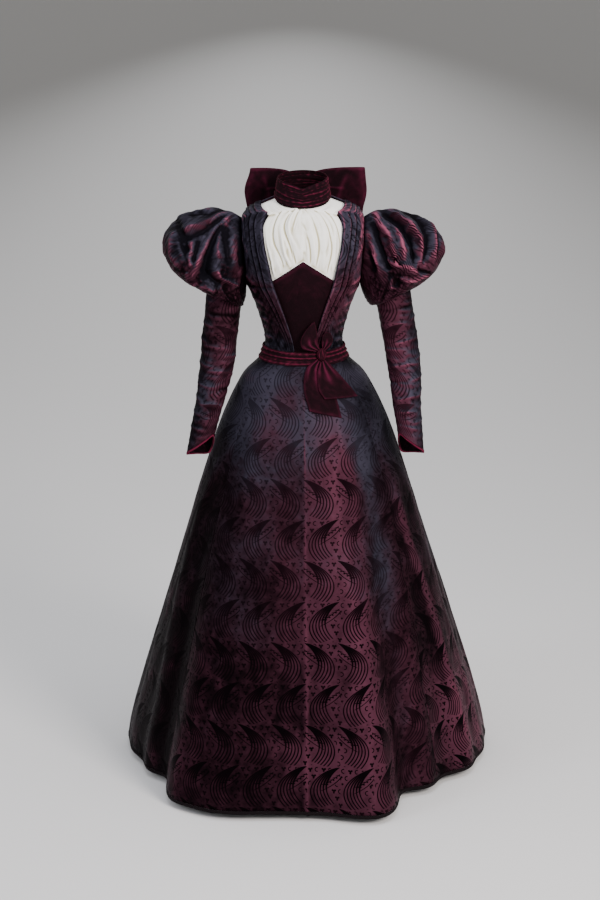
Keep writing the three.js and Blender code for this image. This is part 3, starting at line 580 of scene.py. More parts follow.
def cream_crepe(name):
    """Thin cream silk with a crepe's fine pebbled face, drawn at 1.2 mm because its threads are finer than
    shows, and fine lines down it where the gathers pull, about 4 mm apart."""
    material, tree, shader = fabric(name, Roughness=0.62, Sheen_Weight=0.25, Sheen_Roughness=0.4)
    uv = add(tree, "UVMap", CLOTH_UV).outputs[0]
    stands = add(tree, "Attribute", {"attribute_name": "stands_out"}).outputs["Fac"]
    # painted shade: hollows painted darker and warmer, ridges the full cream
    share = add(tree, "MapRange", SOFT_STEP, in0=stands, in1=-0.42, in2=0.18).outputs[0]
    cloud = add(tree, "TexNoise", in0=uv, Scale=22.0, Detail=3.0, Roughness=0.6).outputs["Fac"]
    fold = add(tree, "Mix", MIXED, in0=share, in6=linear(CREAM_PAINTED_SHADE), in7=linear(CREAM_RIDGE)).outputs[2]
    tone = add(tree, "MapRange", in0=cloud, in1=0.35, in2=0.75, in3=0.0, in4=0.1).outputs[0]
    colour = add(tree, "Mix", MIXED, in0=tone, in6=fold, in7=linear(CREAM_WARM))
    tree.links.new(colour.outputs[2], shader.inputs["Base Color"])
    grain = add(tree, "TexNoise", in0=uv, Scale=820.0, Detail=2.0).outputs["Fac"]
    pebble = add(tree, "Bump", Strength=0.3, Distance=0.0004, Height=grain).outputs[0]
    drawn = add(tree, "Mapping", in0=uv, Scale=(1.0, 0.14, 1.0)).outputs[0]
    lines = add(tree, "TexNoise", in0=drawn, Scale=260.0, Detail=3.0).outputs["Fac"]
    gather = add(tree, "Bump", Strength=0.5, Distance=0.0012, Height=lines, Normal=pebble)
    tree.links.new(gather.outputs[0], shader.inputs["Normal"])
    return material


def brush_braid(name):
    """Black wool braid with upright hairs: fine lines across it, 0.8 mm apart."""
    material, tree, shader = fabric(name, Roughness=0.9, Sheen_Weight=0.1, Sheen_Roughness=0.5)
    shader.inputs["Sheen Tint"].default_value = linear(BRAID_SHEEN)
    shader.inputs["Specular IOR Level"].default_value = 0.1
    uv = add(tree, "UVMap", CLOTH_UV).outputs[0]
    drawn = add(tree, "Mapping", in0=uv, Scale=(1.0, 0.1, 1.0)).outputs[0]
    hairs = add(tree, "TexNoise", in0=drawn, Scale=1250.0, Detail=2.0).outputs["Fac"]
    colour = add(tree, "Mix", MIXED, in0=hairs, in6=linear(BRAID_DEEP), in7=linear(BRAID_HAIR))
    tree.links.new(colour.outputs[2], shader.inputs["Base Color"])
    bump = add(tree, "Bump", Strength=0.8, Distance=0.001, Height=hairs)
    tree.links.new(bump.outputs[0], shader.inputs["Normal"])
    return material


velvet_flat = velvet("silk velvet, flat", "#110308", "#4f142d", 0.45)
velvet_crushed = velvet("silk velvet, crushed", "#13040a", "#5f1831", 0.9)
cream = cream_crepe("cream silk crepe")
braid = brush_braid("black brush braid")
print("velvet, crepe and braid made")

# %% [markdown]
# ## The skirt
# A skirt of the middle 1890s is cut in gores: flat and straight at the front, flared at the sides and set in
# folds behind. Its section is an ellipse that widens towards the hem, and each fold is a bell round the
# ellipse that opens as it goes down. The gores meet behind the front's two deep folds.

# %% Skirt: sections, folds and the surface
SKIRT = [  # drop from the waist, half width, how far back the middle lies, depth in front and behind
    (0, 96, 0, 90, 80),
    (11, 103, 0, 93, 88),
    (22, 114, 1, 97, 102),
    (47, 140, 4, 106, 128),
    (96, 166, 10, 125, 152),
    (171, 199, 18, 153, 180),
    (298, 242, 32, 201, 226),
    (439, 286, 47, 254, 272),
    (637, 344, 69, 330, 322),
    (798, 391, 86, 390, 356),
    (962, 436, 104, 447, 386),
    (1020, 446, 110, 466, 396),
]
FRONT_FOLDS = [  # angle from the centre front, half width, how far out at the hem, drop where it starts
    (19, 10.5, 58, 240),
    (36, 8.5, -57, 200),
    (55, 10, -48, 380),
    (75, 6.5, -13, 420),
    (-28.5, 14, 42, 300),
    (-41.5, 7, 18, 300),
    (-58, 8, -40, 260),
    (-75, 9, -26, 380),
]
BACK_FOLDS = [(104, 8, 22, 120), (122, 7, -30, 40), (138, 8, 26, 30), (153, 7, -34, 20), (168, 8, 24, 20)]
SKIRT_FOLDS = FRONT_FOLDS + BACK_FOLDS + [(180, 5, -30, 20)]
SKIRT_FOLDS += [(-place, *fold) for place, *fold in BACK_FOLDS]  # the back is the same on both sides
FRONT_CREASE = (0.9, 5.0, 60)  # half width in degrees, how far it stands out at the hem, where it starts


def turn_from(angle, place):
    """The turn between two angles, without its sign, in degrees."""
    return np.abs((angle - place + 540) % 360 - 180)


def skirt_folds(angle, drop):
    """The sum of the folds, each a bell round the skirt that grows from its start to the hem, and the front's
    pressed crease, which has a knife edge."""
    out = np.zeros(np.broadcast(angle, drop).shape)
    for place, spread, depth, start in SKIRT_FOLDS:
        growth = np.clip((drop - start) / (WAIST - HEM - start), 0, 1)
        out += depth * np.exp(-((turn_from(angle, place) / spread) ** 2)) * growth**1.25
    width, depth, start = FRONT_CREASE
    growth = np.clip((drop - start) / (WAIST - HEM - start), 0, 1)
    return out + depth * np.exp(-(turn_from(angle, 0) / (width + 1.2 * (1 - growth)))) * growth**0.7


def skirt_point(angle, height, lift=0.0):
    """A point of the skirt: the ellipse at its height, moved straight out by the folds and the lift."""
    drop = WAIST - height
    sine, cosine = np.sin(np.radians(angle)), np.cos(np.radians(angle))
    half = along(SKIRT, drop, 1)
    depth = np.where(cosine >= 0, along(SKIRT, drop, 3), along(SKIRT, drop, 4))
    out = unit(stack(sine / half, -cosine / depth, 0 * half))
    base = stack(half * sine, along(SKIRT, drop, 2) - depth * cosine, height)
    return base + out * np.asarray(skirt_folds(angle, drop) + lift)[..., None]


hem_line = skirt_point(np.linspace(0, 360, 721), np.full(721, HEM))
print("skirt round the hem:", round(np.linalg.norm(np.diff(hem_line, axis=0), axis=1).sum()), "mm")

# %% [markdown]
# The gores are laid out on grids of 5 to 12 mm. On each lie creases, listed in the cloth's own millimetres
# from the gore's middle and down from the waist: long soft ones that run down from the hips, and short ones
# where the silk has been sat on and packed. Painted highlights, the glow of a satin, are listed in the same
# way as soft patches, with painted shade where a patch is negative. A band is painted brighter where the front
# faces the light and along the pressed crease, and the upper skirt and the deep valley beside the front are
# painted with more slate as a painted reflection.

# %% Skirt: gores and creases
GORE_CREASES = {
    "skirt_front": [
        (-60, 60, -150, 420, 22, 2.5),
        (-20, 180, -70, 620, 30, 2.2),
        (70, 60, 120, 300, 14, 2.4),
        (95, 230, 160, 560, 18, -2.6),
        (55, 340, 90, 980, 26, 3.0),
        (150, 420, 190, 1000, 20, 2.2),
        (-110, 380, -190, 1000, 26, -2.6),
        (-210, 560, -280, 1000, 22, 2.4),
        (-40, 640, -60, 1010, 24, -2.0),
        (120, 760, 60, 980, 30, 1.8),
        (-300, 700, -160, 790, 16, 1.3),
        (-120, 860, 10, 900, 14, -1.2),
        (40, 700, 170, 650, 14, 1.2),
    ],
    "skirt_side_left": [
        (20, 40, 60, 420, 14, 2.4),
        (-60, 260, -90, 900, 20, 3.0),
        (30, 480, 70, 1000, 18, -3.0),
        (-10, 620, 90, 560, 14, 1.5),
        (110, 540, 150, 1000, 18, 2.6),
        (-120, 800, 40, 870, 14, -1.4),
    ],
    "skirt_side_right": [
        (-20, 40, -60, 420, 14, 2.4),
        (60, 260, 80, 880, 20, 3.0),
        (-40, 430, -80, 980, 18, -3.0),
        (10, 660, -90, 600, 14, 1.5),
        (-120, 560, -150, 1000, 18, 2.6),
        (130, 760, -30, 850, 14, -1.4),
    ],
    "skirt_back": [
        (-30, 20, -60, 460, 12, 3.0),
        (38, 20, 80, 520, 12, 3.0),
        (-120, 60, -230, 720, 20, -3.2),
        (150, 60, 260, 800, 22, -3.0),
        (-60, 420, -110, 1010, 20, 2.6),
        (90, 500, 130, 1000, 22, 2.8),
        (-330, 500, -420, 1010, 24, 2.6),
        (330, 420, 410, 960, 24, 2.4),
        (-250, 760, -60, 830, 16, 1.3),
        (60, 860, 260, 800, 16, -1.3),
    ],
}
GORES = [  # from and to, as angles round from the centre front, and cells across and down
    ("skirt_front", -50, 50, 180, 110),
    ("skirt_side_left", 50, 112, 80, 90),
    ("skirt_back", 112, 248, 200, 95),
    ("skirt_side_right", 248, 310, 80, 90),
]
PAINTED_GLOW_PATCHES = {  # where a painted highlight lies on the ground, or painted shade where the amount is negative: middle across and down, half width, half height, how much
    "skirt_front": [
        (78, 480, 80, 280, 0.16),
        (70, 200, 60, 130, 0.16),
        (-10, 110, 150, 120, 0.18),
        (-34, 600, 40, 160, 0.14),
        (-80, 260, 80, 240, 0.13),
        (-150, 560, 70, 160, 0.05),
        (20, 940, 90, 70, 0.22),
        (150, 800, 40, 160, 0.14),
        (-190, 700, 90, 360, -0.06),
    ],
    "skirt_side_left": [
        (0, 110, 240, 150, 0.1),
        (-96, 640, 16, 300, 0.26),
        (-40, 780, 22, 170, 0.16),
        (10, 520, 26, 180, 0.1),
        (0, 960, 260, 130, 0.4),
    ],
    "skirt_side_right": [
        (0, 110, 240, 150, 0.14),
        (0, 800, 240, 460, -0.13),
        (-20, 560, 30, 180, 0.08),
    ],
    "skirt_back": [
        (-40, 560, 60, 380, 0.3),
        (120, 620, 50, 320, 0.28),
        (-240, 700, 60, 260, 0.24),
        (330, 560, 60, 300, 0.24),
    ],
}


VALLEY = 38  # the angle of the deep valley to the right of the front, painted with more slate as a painted reflection
LIT_FROM, LIT_TO = 0.4, 31  # the angles between which the front gore faces the light, where it is painted brighter


def painted_glow(table, x, y):
    """Painted highlight patches, soft and oblong: each adds its amount of painted light, painted shade where it is
    negative, times a bell across and a bell with a flat top down.
    """
    out = np.zeros_like(x)
    for x0, y0, width, height, amount in table:
        out += amount * np.exp(-(np.abs((x - x0) / width) ** 3) - np.abs((y - y0) / height) ** 4)
    return out


for node, start, end, columns, rows in GORES:
    s, t = grid(columns, rows)
    drop = mix(GAP, WAIST - HEM, t**1.05)
    edge = np.degrees(GAP / 2 / along(SKIRT, drop, 1))
    angle = mix(start + edge, end - edge, s)
    points = skirt_point(angle, WAIST - drop, CLOTH)
    place = flat_place(points)
    u, v = place[..., 0], place[..., 1]
    fade = smooth(drop / 120) * smooth(np.minimum(s, 1 - s) * 14)
    lift = creases(GORE_CREASES[node], u, v, 2.0) + 0.8 * crumple(u, v * 0.45, 95, start * 0.1)
    lift += 0.35 * crumple(u, v * 0.7, 34, 2 + start * 0.1) * smooth(drop / 300)
    points = raised(points, lift * fade, outward(points))
    # painted light: highlight patches, a band painted brighter where the front faces the light, a painted highlight
    # along the pressed crease and a little in the valley
    painted_glow_share = painted_glow(PAINTED_GLOW_PATCHES[node], u + 7 * np.sin(v / 60), v)
    facing = smooth((angle - LIT_FROM) / 1.4) * smooth((LIT_TO - angle) / 4)
    painted_glow_share = painted_glow_share + 0.1 * facing * smooth((v - 200) / 140)
    valley = np.exp(-(((angle - VALLEY) / 6) ** 2)) * smooth((v - 140) / 160)
    pressed = np.exp(-np.abs(angle + 0.3 * np.sin(v / 70)) / 0.3)
    pressed *= smooth((v - 30) / 80) * (0.7 + 0.3 * np.sin(v / 31))
    # painted slate reflection: more on the upper skirt and in the valley, less under a painted highlight and along the
    # crease
    slate = mix(0.66, 0.2, smooth((v - 120) / 260)) - 0.3 * smooth((v - 480) / 300)
    slate = slate - 1.5 * np.clip(painted_glow_share - 0.11, 0, 0.5) - 0.4 * pressed + 0.4 * valley
    lustre = 0.09 + painted_glow_share + 0.3 * pressed + 0.12 * valley
    shown = {"rests_on": ["sash"], "lustre": lustre, "slate": slate}
    sheet(f"silk_{node}", points, node, "silk_damask", silk_skirt, "hung", place, **shown)

# %% [markdown]
# A brush braid binds the hem so that the floor doesn't wear the silk. It is a narrow band folded over the
# skirt's edge: its section walks down the outside, turns under in a half circle and comes up inside.

# %% Bound edges and the hem braid


def bound_edge(t, middle, radius, deep):
    """The section of a band folded over an edge, as how far out it lies and how far down: straight down to
    deep, round a half circle, and three quarters of the way up again."""
    turn = np.clip((t - 0.44) / 0.16, 0, 1) * math.pi
    down = np.minimum(t / 0.44, 1) * (deep - radius) - np.clip((t - 0.6) / 0.4, 0, 1) * 0.75 * (deep - radius)
    return middle + radius * np.cos(turn), down + radius * np.sin(turn)


s, t = grid(620, 10)
out, down = bound_edge(t, CLOTH / 2, 1.5, 9)
points = skirt_point(s * 360, HEM + 0 * t, out + 0.25 * np.sin(s * 5200))
points[..., 2] = HEM - GAP - down + 0.2 * np.sin(s * 4100) * smooth(t * 4)
sheet("braid_hem", points, "hem_braid", "braid", braid, "folded", ring=True, thickness=0.9)

# %% [markdown]
# ## The bodice
# Half a torso's section runs from the centre round to the side seam or the armhole, and its sections run up
# from the waist past the armpit to the shoulder seam. The bodice's fronts part over a velvet plastron and a
# cream chemisette, so each of them is cut from the same surface at its own depth.

# %% Bodice: sections and the surface
ARMPIT, NECK = 0.54, 0.94  # the heights, as v, of the armpit and of the pit of the neck
SIDE_SEAM, SHOULDER_SEAM = 1 - 0.0012, 1 - 0.0005  # where the cloth ends, as u and as v
QUARTER, TALL = 150, 330  # millimetres across a quarter of the torso, and up it
TORSO = [  # v, side, its rise from the waist, depth to the front, its rise, depth to the back, its rise, lean
    (0, 96, 0, 90, 0, 80, 0, 0),
    (0.1, 90, 33, 87, 33, 76, 33, 0),
    (0.24, 99, 77, 97, 77, 84, 77, 0),
    (0.4, 114, 123, 113, 125, 96, 125, 0),
    (ARMPIT, 131, 162, 124, 170, 104, 173, 0.05),
    (0.68, 131, 162, 121, 225, 108, 235, 0.18),
    (0.8, 131, 162, 107, 280, 103, 290, 0.42),
    (0.88, 131, 162, 91, 317, 87, 340, 0.7),
    (NECK, 131, 162, 74, 345, 58, 373, 0.9),
]
OPENING = [  # v, where the front's edge is as u, and how wide its revers is in u
    (0, 0.14, 0.1),
    (0.1, 0.18, 0.13),
    (0.24, 0.24, 0.17),
    (0.4, 0.3, 0.21),
    (ARMPIT, 0.34, 0.25),
    (0.68, 0.39, 0.27),
    (0.8, 0.44, 0.29),
    (0.9, 0.43, 0.33),
    (1, 0.27, 0.4),
]


def armhole(turn, half, shift=0.0):
    """The armhole's edge, an ellipse tilted outwards at the top. turn is 0 at the shoulder and 180 at the
    armpit, and half is 1 in front and -1 behind."""
    cosine, sine = np.cos(np.radians(turn)), np.sin(np.radians(turn))
    return stack(136.5 + 5.5 * cosine + shift, -half * 50 * sine, 1286 + 79 * cosine)


def torso_point(u, v, side, half, lift=0.0):
    """A point of the torso. u runs from the centre to the side on a quarter of an ellipse, v runs up, side is
    1 on the left as worn, half is 1 in front, and lift moves it out."""
    u, v, side, half = np.broadcast_arrays(*(np.asarray(x, float) for x in (u, v, side, half)))
    depth = np.where(half > 0, along(TORSO, v, 3), along(TORSO, v, 5))
    rise = np.where(half > 0, along(TORSO, v, 4), along(TORSO, v, 6))
    up = np.clip((v - NECK) / (1 - NECK), 0, 1)
    turn = up * math.pi / 2
    forward, level = mix(-4, -half * depth, np.cos(turn)), WAIST + mix(367, rise, np.cos(turn))
    centre = stack(64 * np.sin(turn), forward, level)
    low = stack(along(TORSO, v, 1), 0 * v, WAIST + along(TORSO, v, 2))
    high = armhole(180 * (1 - (v - ARMPIT) / (1 - ARMPIT)), half)
    edge = np.where((v > ARMPIT)[..., None], high, low)
    sine, cosine = np.sin(u * math.pi / 2), np.cos(u * math.pi / 2)
    lean = np.where(v > NECK, mix(0.9, 1, up), along(TORSO, v, 7))
    point = stack(
        mix(centre[..., 0], edge[..., 0], sine),
        mix(edge[..., 1], centre[..., 1], cosine),
        mix(centre[..., 2], edge[..., 2], u),
    )
    beside = 0.35 * lean * np.minimum(1, 6 * u + 10 * np.maximum(0, v - NECK))
    out = unit(stack(sine * (1 - 0.55 * lean) + beside, -half * cosine * (1 - lean), 1.1 * lean))
    point = point + out * np.broadcast_to(lift, u.shape)[..., None]
    point[..., 0] *= side
    return point


def opening_edge(v):
    """Where the front's edge is at a height."""
    return along(OPENING, v, 1)


quarters = [torso_point(np.linspace(0, 1, 90), 0, 1, half) for half in (1, -1)]
waist_round = 2 * sum(np.linalg.norm(np.diff(quarter, axis=0), axis=1).sum() for quarter in quarters)
print("waist:", round(waist_round), "mm round")

# %% [markdown]
# The fronts and backs fit closely, so their creases are strains: they run round from the side seam where the
# waist is nipped in, and up to the armhole. The shoulder's end of each front is gathered.

# %% Bodice: fronts and backs
STRAINS = [  # u and v of both ends, half width and depth in millimetres
    (0.62, 0.06, 1.0, 0.02, 3.5, 1.5),
    (0.55, 0.12, 1.0, 0.105, 3.5, 1.9),
    (0.66, 0.2, 1.0, 0.17, 4.0, 1.6),
    (0.58, 0.25, 1.0, 0.26, 4.5, 1.9),
    (0.7, 0.34, 1.0, 0.33, 4.5, 1.5),
    (0.6, 0.38, 1.0, 0.43, 5.0, 1.7),
    (0.64, 0.47, 1.0, 0.53, 5.0, 1.8),
    (0.62, 0.56, 0.96, 0.66, 6.0, 2.0),
    (0.5, 0.5, 0.72, 0.44, 6.0, -1.6),
    (0.72, 0.74, 0.97, 0.82, 6.0, 1.8),
    (0.8, 0.99, 0.7, 0.8, 5.0, 2.2),
    (0.9, 0.99, 0.84, 0.8, 4.0, 2.0),
    (0.97, 0.98, 0.94, 0.78, 4.0, 1.8),
    (0.66, 0.99, 0.6, 0.86, 5.0, 1.8),
]
BACK_STRAINS = [
    (0.5, 0.07, 1.0, 0.03, 3.5, 1.4),
    (0.3, 0.12, 1.0, 0.14, 3.5, 1.6),
    (0.6, 0.21, 1.0, 0.22, 4.0, 1.6),
    (0.4, 0.27, 1.0, 0.33, 4.5, 1.5),
    (0.55, 0.38, 1.0, 0.45, 5.0, 1.6),
    (0.1, 0.45, 0.5, 0.52, 7.0, -1.2),
    (0.6, 0.55, 0.96, 0.62, 6.0, 1.8),
    (0.3, 0.66, 0.9, 0.74, 7.0, 1.4),
    (0.5, 0.8, 0.96, 0.85, 6.0, 1.5),
]
BACK_SEAM_LAP = 0.1  # how far each back runs past the middle, so that no light comes through the seam


def strains(table, u, v):
    """Creases on the torso's own u and v."""
    return creases(table, u * QUARTER, v * TALL, scale=(QUARTER, TALL))


for word, side in (("left", 1), ("right", -1)):
    s, t = grid(56, 96)
    v = mix(0, SHOULDER_SEAM, t)
    u = mix(opening_edge(v), SIDE_SEAM, s)
    fade = smooth((1 - u) * 9 + 0.25) * smooth((1 - v) * 30 + 0.1)
    lift = CLOTH + strains(STRAINS, u, v + 0.012 * side) * fade
    lift += 0.5 * crumple(u * QUARTER, v * TALL, 26, side) * smooth((1 - v) * 20)
    points = torso_point(u, v, side, 1, lift)
    node = f"bodice_front_{word}"
    # painted light: strain ridges painted brighter, and the left front, on the key light's side, painted brighter over
    # its upper part than the right
    lustre = 0.12 + 0.12 * (lift - CLOTH) + (0.34 if side > 0 else -0.02) * smooth((v - 0.1) * 3)
    # painted highlight: crinkle marks on the left shoulder, drawn in colour only, with less slate there
    crinkle_highlight = np.abs(crumple(u * QUARTER, v * TALL, 16, side)) * smooth((v - 0.62) * 4) * (side > 0)
    shown = {"lustre": (lustre + 0.4 * crinkle_highlight)[::-1], "slate": (0.35 - 1.2 * crinkle_highlight)[::-1]}
    sheet(f"silk_{node}", points[::-1], node, "silk_damask", silk_bodice, "stretched", **shown)
    u = mix(0, SIDE_SEAM, s)
    fade = smooth((1 - u) * 9 + 0.25) * smooth(u * 9)
    lift = CLOTH + strains(BACK_STRAINS, u, v + 0.015 * side) * fade
    lift += 0.5 * crumple(u * QUARTER, v * TALL, 28, 3 + side) * smooth((1 - v) * 20)
    points = torso_point(u, v, side, -1, lift)
    points[..., 0] -= side * BACK_SEAM_LAP
    node = f"bodice_back_{word}"
    # painted light: strain ridges painted brighter
    lustre = 0.24 + 0.12 * (lift - CLOTH)
    sheet(f"silk_{node}", points[::-1], node, "silk_damask", silk_bodice, "stretched", lustre=lustre[::-1])

# %% [markdown]
# Each revers is three long pleats laid one over the next, from the shoulder seam to the sash. Across it the
# cloth climbs to a pleat's edge and drops to the next one, so the profile is a saw with rounded teeth, and a
# few soft dents keep the edges from being ruled lines.

# %% Revers
REVERS_PLEATS = [(0, 1.5), (0.05, 4), (0.33, 7), (0.38, 2.5), (0.64, 6), (0.69, 2), (0.96, 5), (1, 0.4)]
REVERS_DENTS = [  # u and v of both ends, half width and depth
    (0.1, 0.3, 0.9, 0.36, 9, -0.9),
    (0.1, 0.52, 0.8, 0.49, 10, 0.9),
    (0.2, 0.7, 0.95, 0.66, 9, -1.0),
    (0.1, 0.82, 0.6, 0.9, 8, 1.4),
    (0.5, 0.8, 0.95, 0.93, 7, -1.6),
]
REVERS_ACROSS = 60  # millimetres
RIDGES, GROOVES = (0.05, 0.35, 0.66), (0.41, 0.72, 1.0)  # where they lie across the revers
for word, side in (("left", 1), ("right", -1)):
    s, t = grid(72, 120)
    v = mix(0.045, SHOULDER_SEAM, t)
    sway = 0.012 * np.sin(v * 9 + side) * np.sin(s * math.pi)
    across = np.clip(s + sway, 0, 1)
    places, ups = np.array(REVERS_PLEATS).T
    up = np.interp(across, places, ups)
    near = sum(np.interp(np.clip(across + k * 0.012, 0, 1), places, ups) for k in (-2, -1, 1, 2))
    up = (up * 2 + near) / 6 * mix(0.35, 1, smooth(t * 4)) * mix(1, 0.45, smooth((t - 0.88) / 0.12))
    u = opening_edge(v) - 0.012 + s * along(OPENING, v, 2)
    x, y = s * REVERS_ACROSS, v * TALL
    dents = creases(REVERS_DENTS, x, y, scale=(REVERS_ACROSS, TALL)) * 0.5
    lift = CLOTH + 0.9 + THIN_WALL + up + dents * smooth(t * 5) * smooth((1 - t) * 9)
    points = torso_point(u, v, side, 1, lift)
    # painted light: pleat edges painted bright and grooves painted dark, and the left revers, on the key light's side,
    # painted brighter, with crinkle highlights drawn in colour only and less slate
    edge = sum(np.exp(-np.abs(across - k) / 0.025) for k in RIDGES)
    groove_shade = sum(np.exp(-np.abs(across - k) / 0.03) for k in GROOVES)
    crush_highlight = np.abs(crumple(x, y, 18, 2 * side)) * (0.3 + 0.7 * smooth((v - 0.7) * 5))
    painted_glow_share = 0.4 if side > 0 else 0.12
    lustre = 0.07 + (0.3 + painted_glow_share * 0.6) * edge - 0.6 * groove_shade + painted_glow_share * (0.8 * crush_highlight + 0.3)
    node = f"revers_{word}"
    shown = {"thickness": 1.0, "rests_on": [f"bodice_front_{word}"]}
    shown |= {"lustre": lustre[::-1], "slate": 0.34 - 0.7 * painted_glow_share}
    sheet(f"silk_{node}", points[::-1], node, "silk_damask", silk_bodice, "folded", **shown)

# %% [markdown]
# The plastron is velvet laid over a firm lining, so it stays smooth and only its colour moves. Its top edge
# rises to a point. The chemisette behind it is gathered by hand into the neck and caught in the plastron's
# top: a few deep gathers that lean and wander, with broad soft swells between them.

# %% Plastron
PLASTRON_PEAK, PLASTRON_SIDES = 0.69, 0.585


def plastron_top(share):
    """The plastron's top edge as v, a straight fall from the peak to the sides."""
    return mix(PLASTRON_PEAK, PLASTRON_SIDES, share)


s, t = grid(70, 70)
across = mix(-1, 1, s)
share = np.abs(across)
v = plastron_top(share) * t
u = share * (opening_edge(v) + 0.06)
rolled = -1.1 * smooth((t - 0.985) / 0.015)
lift = -1.2 + 0.35 * crumple(across * 60, v * TALL, 60) + rolled
points = torso_point(u, v, np.where(across < 0, -1, 1), 1, lift)[::-1]
sheet("velvet_plastron", points, "plastron", "velvet", velvet_flat, "stretched", lustre=0.32)

# %% Chemisette
GATHERS = [  # place across at the top and the bottom (-1 to 1), half width, and depth in millimetres
    (-0.97, -0.96, 0.02, 2.0),
    (-0.9, -0.8, 0.05, 3.0),
    (-0.8, -0.52, 0.024, -3.0),
    (-0.7, -0.64, 0.05, 2.6),
    (-0.6, -0.34, 0.045, 3.4),
    (-0.5, -0.22, 0.02, -3.4),
    (-0.36, -0.1, 0.055, 3.8),
    (-0.25, -0.21, 0.022, -3.4),
    (-0.1, 0.0, 0.07, 3.2),
    (0.03, 0.17, 0.026, -2.0),
    (0.15, 0.3, 0.08, 3.0),
    (0.3, 0.36, 0.03, -1.6),
    (0.45, 0.52, 0.09, 3.0),
    (0.61, 0.7, 0.024, -2.2),
    (0.73, 0.8, 0.06, 2.8),
    (0.86, 0.92, 0.02, -2.4),
    (0.95, 0.97, 0.03, 2.2),
]
NECKLINE = 0.62  # the share of the chemisette's top that lies round the neck; the rest is on the shoulders
TUCKED = 0.03  # the share of its height that is tucked behind the plastron
s, t = grid(190, 84)
across = mix(-1, 1, s)
share = np.abs(across)
top = mix(NECK, SHOULDER_SEAM, np.minimum(1, share / NECKLINE))
top_edge = np.maximum(0, (share - NECKLINE) / (1 - NECKLINE)) * (opening_edge(1.0) + 0.05)
upper = t * (1 + TUCKED) - TUCKED
hidden, seen = plastron_top(share) - 0.05, plastron_top(share) + 0.004
v = np.where(upper < 0, mix(hidden, seen, (upper + TUCKED) / TUCKED), mix(seen, top, np.maximum(upper, 0)))
u = mix(share * (opening_edge(v) + 0.05), top_edge, t**5)
gathered = np.zeros_like(s)
for high, low, width, depth in GATHERS:
    line = mix(low, high, smooth(upper * 1.1)) + 0.022 * np.sin(upper * (5 + 9 * abs(high)) + high * 17)
    strength = 0.52 + 0.48 * np.sin(upper * 5 + high * 41)
    bell = np.exp(-((np.abs(across - line) / (width * mix(0.8, 1.2, upper))) ** 1.5))
    gathered += 1.6 * depth * strength * bell
gathered += 1.1 * crumple(across * 110, upper * 60, 34, 3.0)
swell = smooth(upper * 5) * smooth((1 - upper) * 7) * smooth((0.97 - share) * 7)
wave = 3.0 * smooth(upper * 4) * smooth((1 - upper) * 5) * smooth((0.86 - share) * 5)
inside = mix(-6.3, mix(-1.5, -3.9, smooth(share * 1.5)), smooth(upper * 2))
lift = inside + THIN_WALL + wave + np.clip(gathered, -3.4, 8.5) * swell
points = torso_point(u, v, np.where(across < 0, -1, 1), 1, lift)
sheet("crepe_chemisette", points[::-1], "chemisette", "cream_silk", cream, "gathered", thickness=0.6)

# %% [markdown]
# ## The stock collar
# A velvet stock is a bias band wrapped round the neck and drawn into soft folds that run round it. It stands
# on the neck's base and dips at the front of its top edge. The folds wander up and down and fade in and out,
# so each one is a bell whose middle is a slow wave of the angle.

# %% Collar


def neck_ring(angle, lift):
    """The neck's base at an angle round from the front."""
    turned = np.abs(angle)
    half = np.where(turned <= 90, 1, -1)
    share = np.where(half > 0, turned, 180 - turned) / 90
    return torso_point(0 * share, mix(NECK, 1, share), np.where(angle < 0, -1, 1), half, lift)


COLLAR_FOLDS = [  # as wandering() reads them
    (0.07, 0.02, 1, 0.3, 0.035, 1.3),
    (0.15, 0.04, 2, 1.9, 0.022, -1.3),
    (0.24, 0.05, 1, 0.5, 0.04, 1.5),
    (0.33, 0.05, 1, 3.0, 0.02, -1.5),
    (0.42, 0.06, 2, 4.0, 0.036, 1.5),
    (0.5, 0.05, 1, 5.2, 0.018, -1.2),
    (0.58, 0.06, 1, 2.4, 0.04, 1.7),
    (0.67, 0.04, 2, 0.2, 0.02, -1.5),
    (0.75, 0.05, 1, 5.2, 0.034, 1.3),
    (0.84, 0.03, 2, 3.3, 0.02, -1.1),
    (0.93, 0.02, 2, 1.0, 0.045, 1.4),
]
s, t = grid(230, 44)
angle = mix(-180, 180, s)
sine, cosine = np.sin(np.radians(angle)), np.cos(np.radians(angle))
base = neck_ring(angle, CLOTH + GAP + 0.4)
depth = np.where(cosine >= 0, 62, 50)
notch = 11 * np.exp(-np.abs(angle / 24) ** 1.3)
top = stack(56 * sine, -4 - depth * cosine, mix(1448, 1470, (1 - cosine) / 2) - notch)
fold = wandering(COLLAR_FOLDS, angle, t, swell=0.4, swells=3, phase=2.7, sharp=1.5)
fold += 0.4 * crumple(angle * 1.1, t * 60, 17, 1.0)
lift = 0.665 * np.sin(t * 3 * math.pi) ** 2 + fold * smooth(t * 12) * smooth((1 - t) * 12) + 2.4
points = mix(base, top, t[..., None]) + stack(sine, -cosine, 0 * sine) * lift[..., None]
lit_side_highlight = np.exp(-np.abs(cosine - 0.15) / 0.2) * (sine > 0)  # painted highlight: the pile is painted bright on the left side, where the key light falls
# painted light: fold ridges painted brighter than hollows
shown = {"ring": True, "thickness": 1.6, "lustre": (0.22 + 0.09 * fold + 0.3 * lit_side_highlight)[::-1]}
sheet("velvet_collar", points[::-1], "collar", "velvet", velvet_crushed, "folded", **shown)

# %% [markdown]
# ## The sleeves
# The lower sleeve is cut close and a little too long, so it rides up in short wrinkles round the arm, deepest
# at the elbow. It is a tube of ellipses along the arm's bent line. Its cuff is cut long over the back of the
# hand and high inside the wrist, and bound with a roll of velvet.

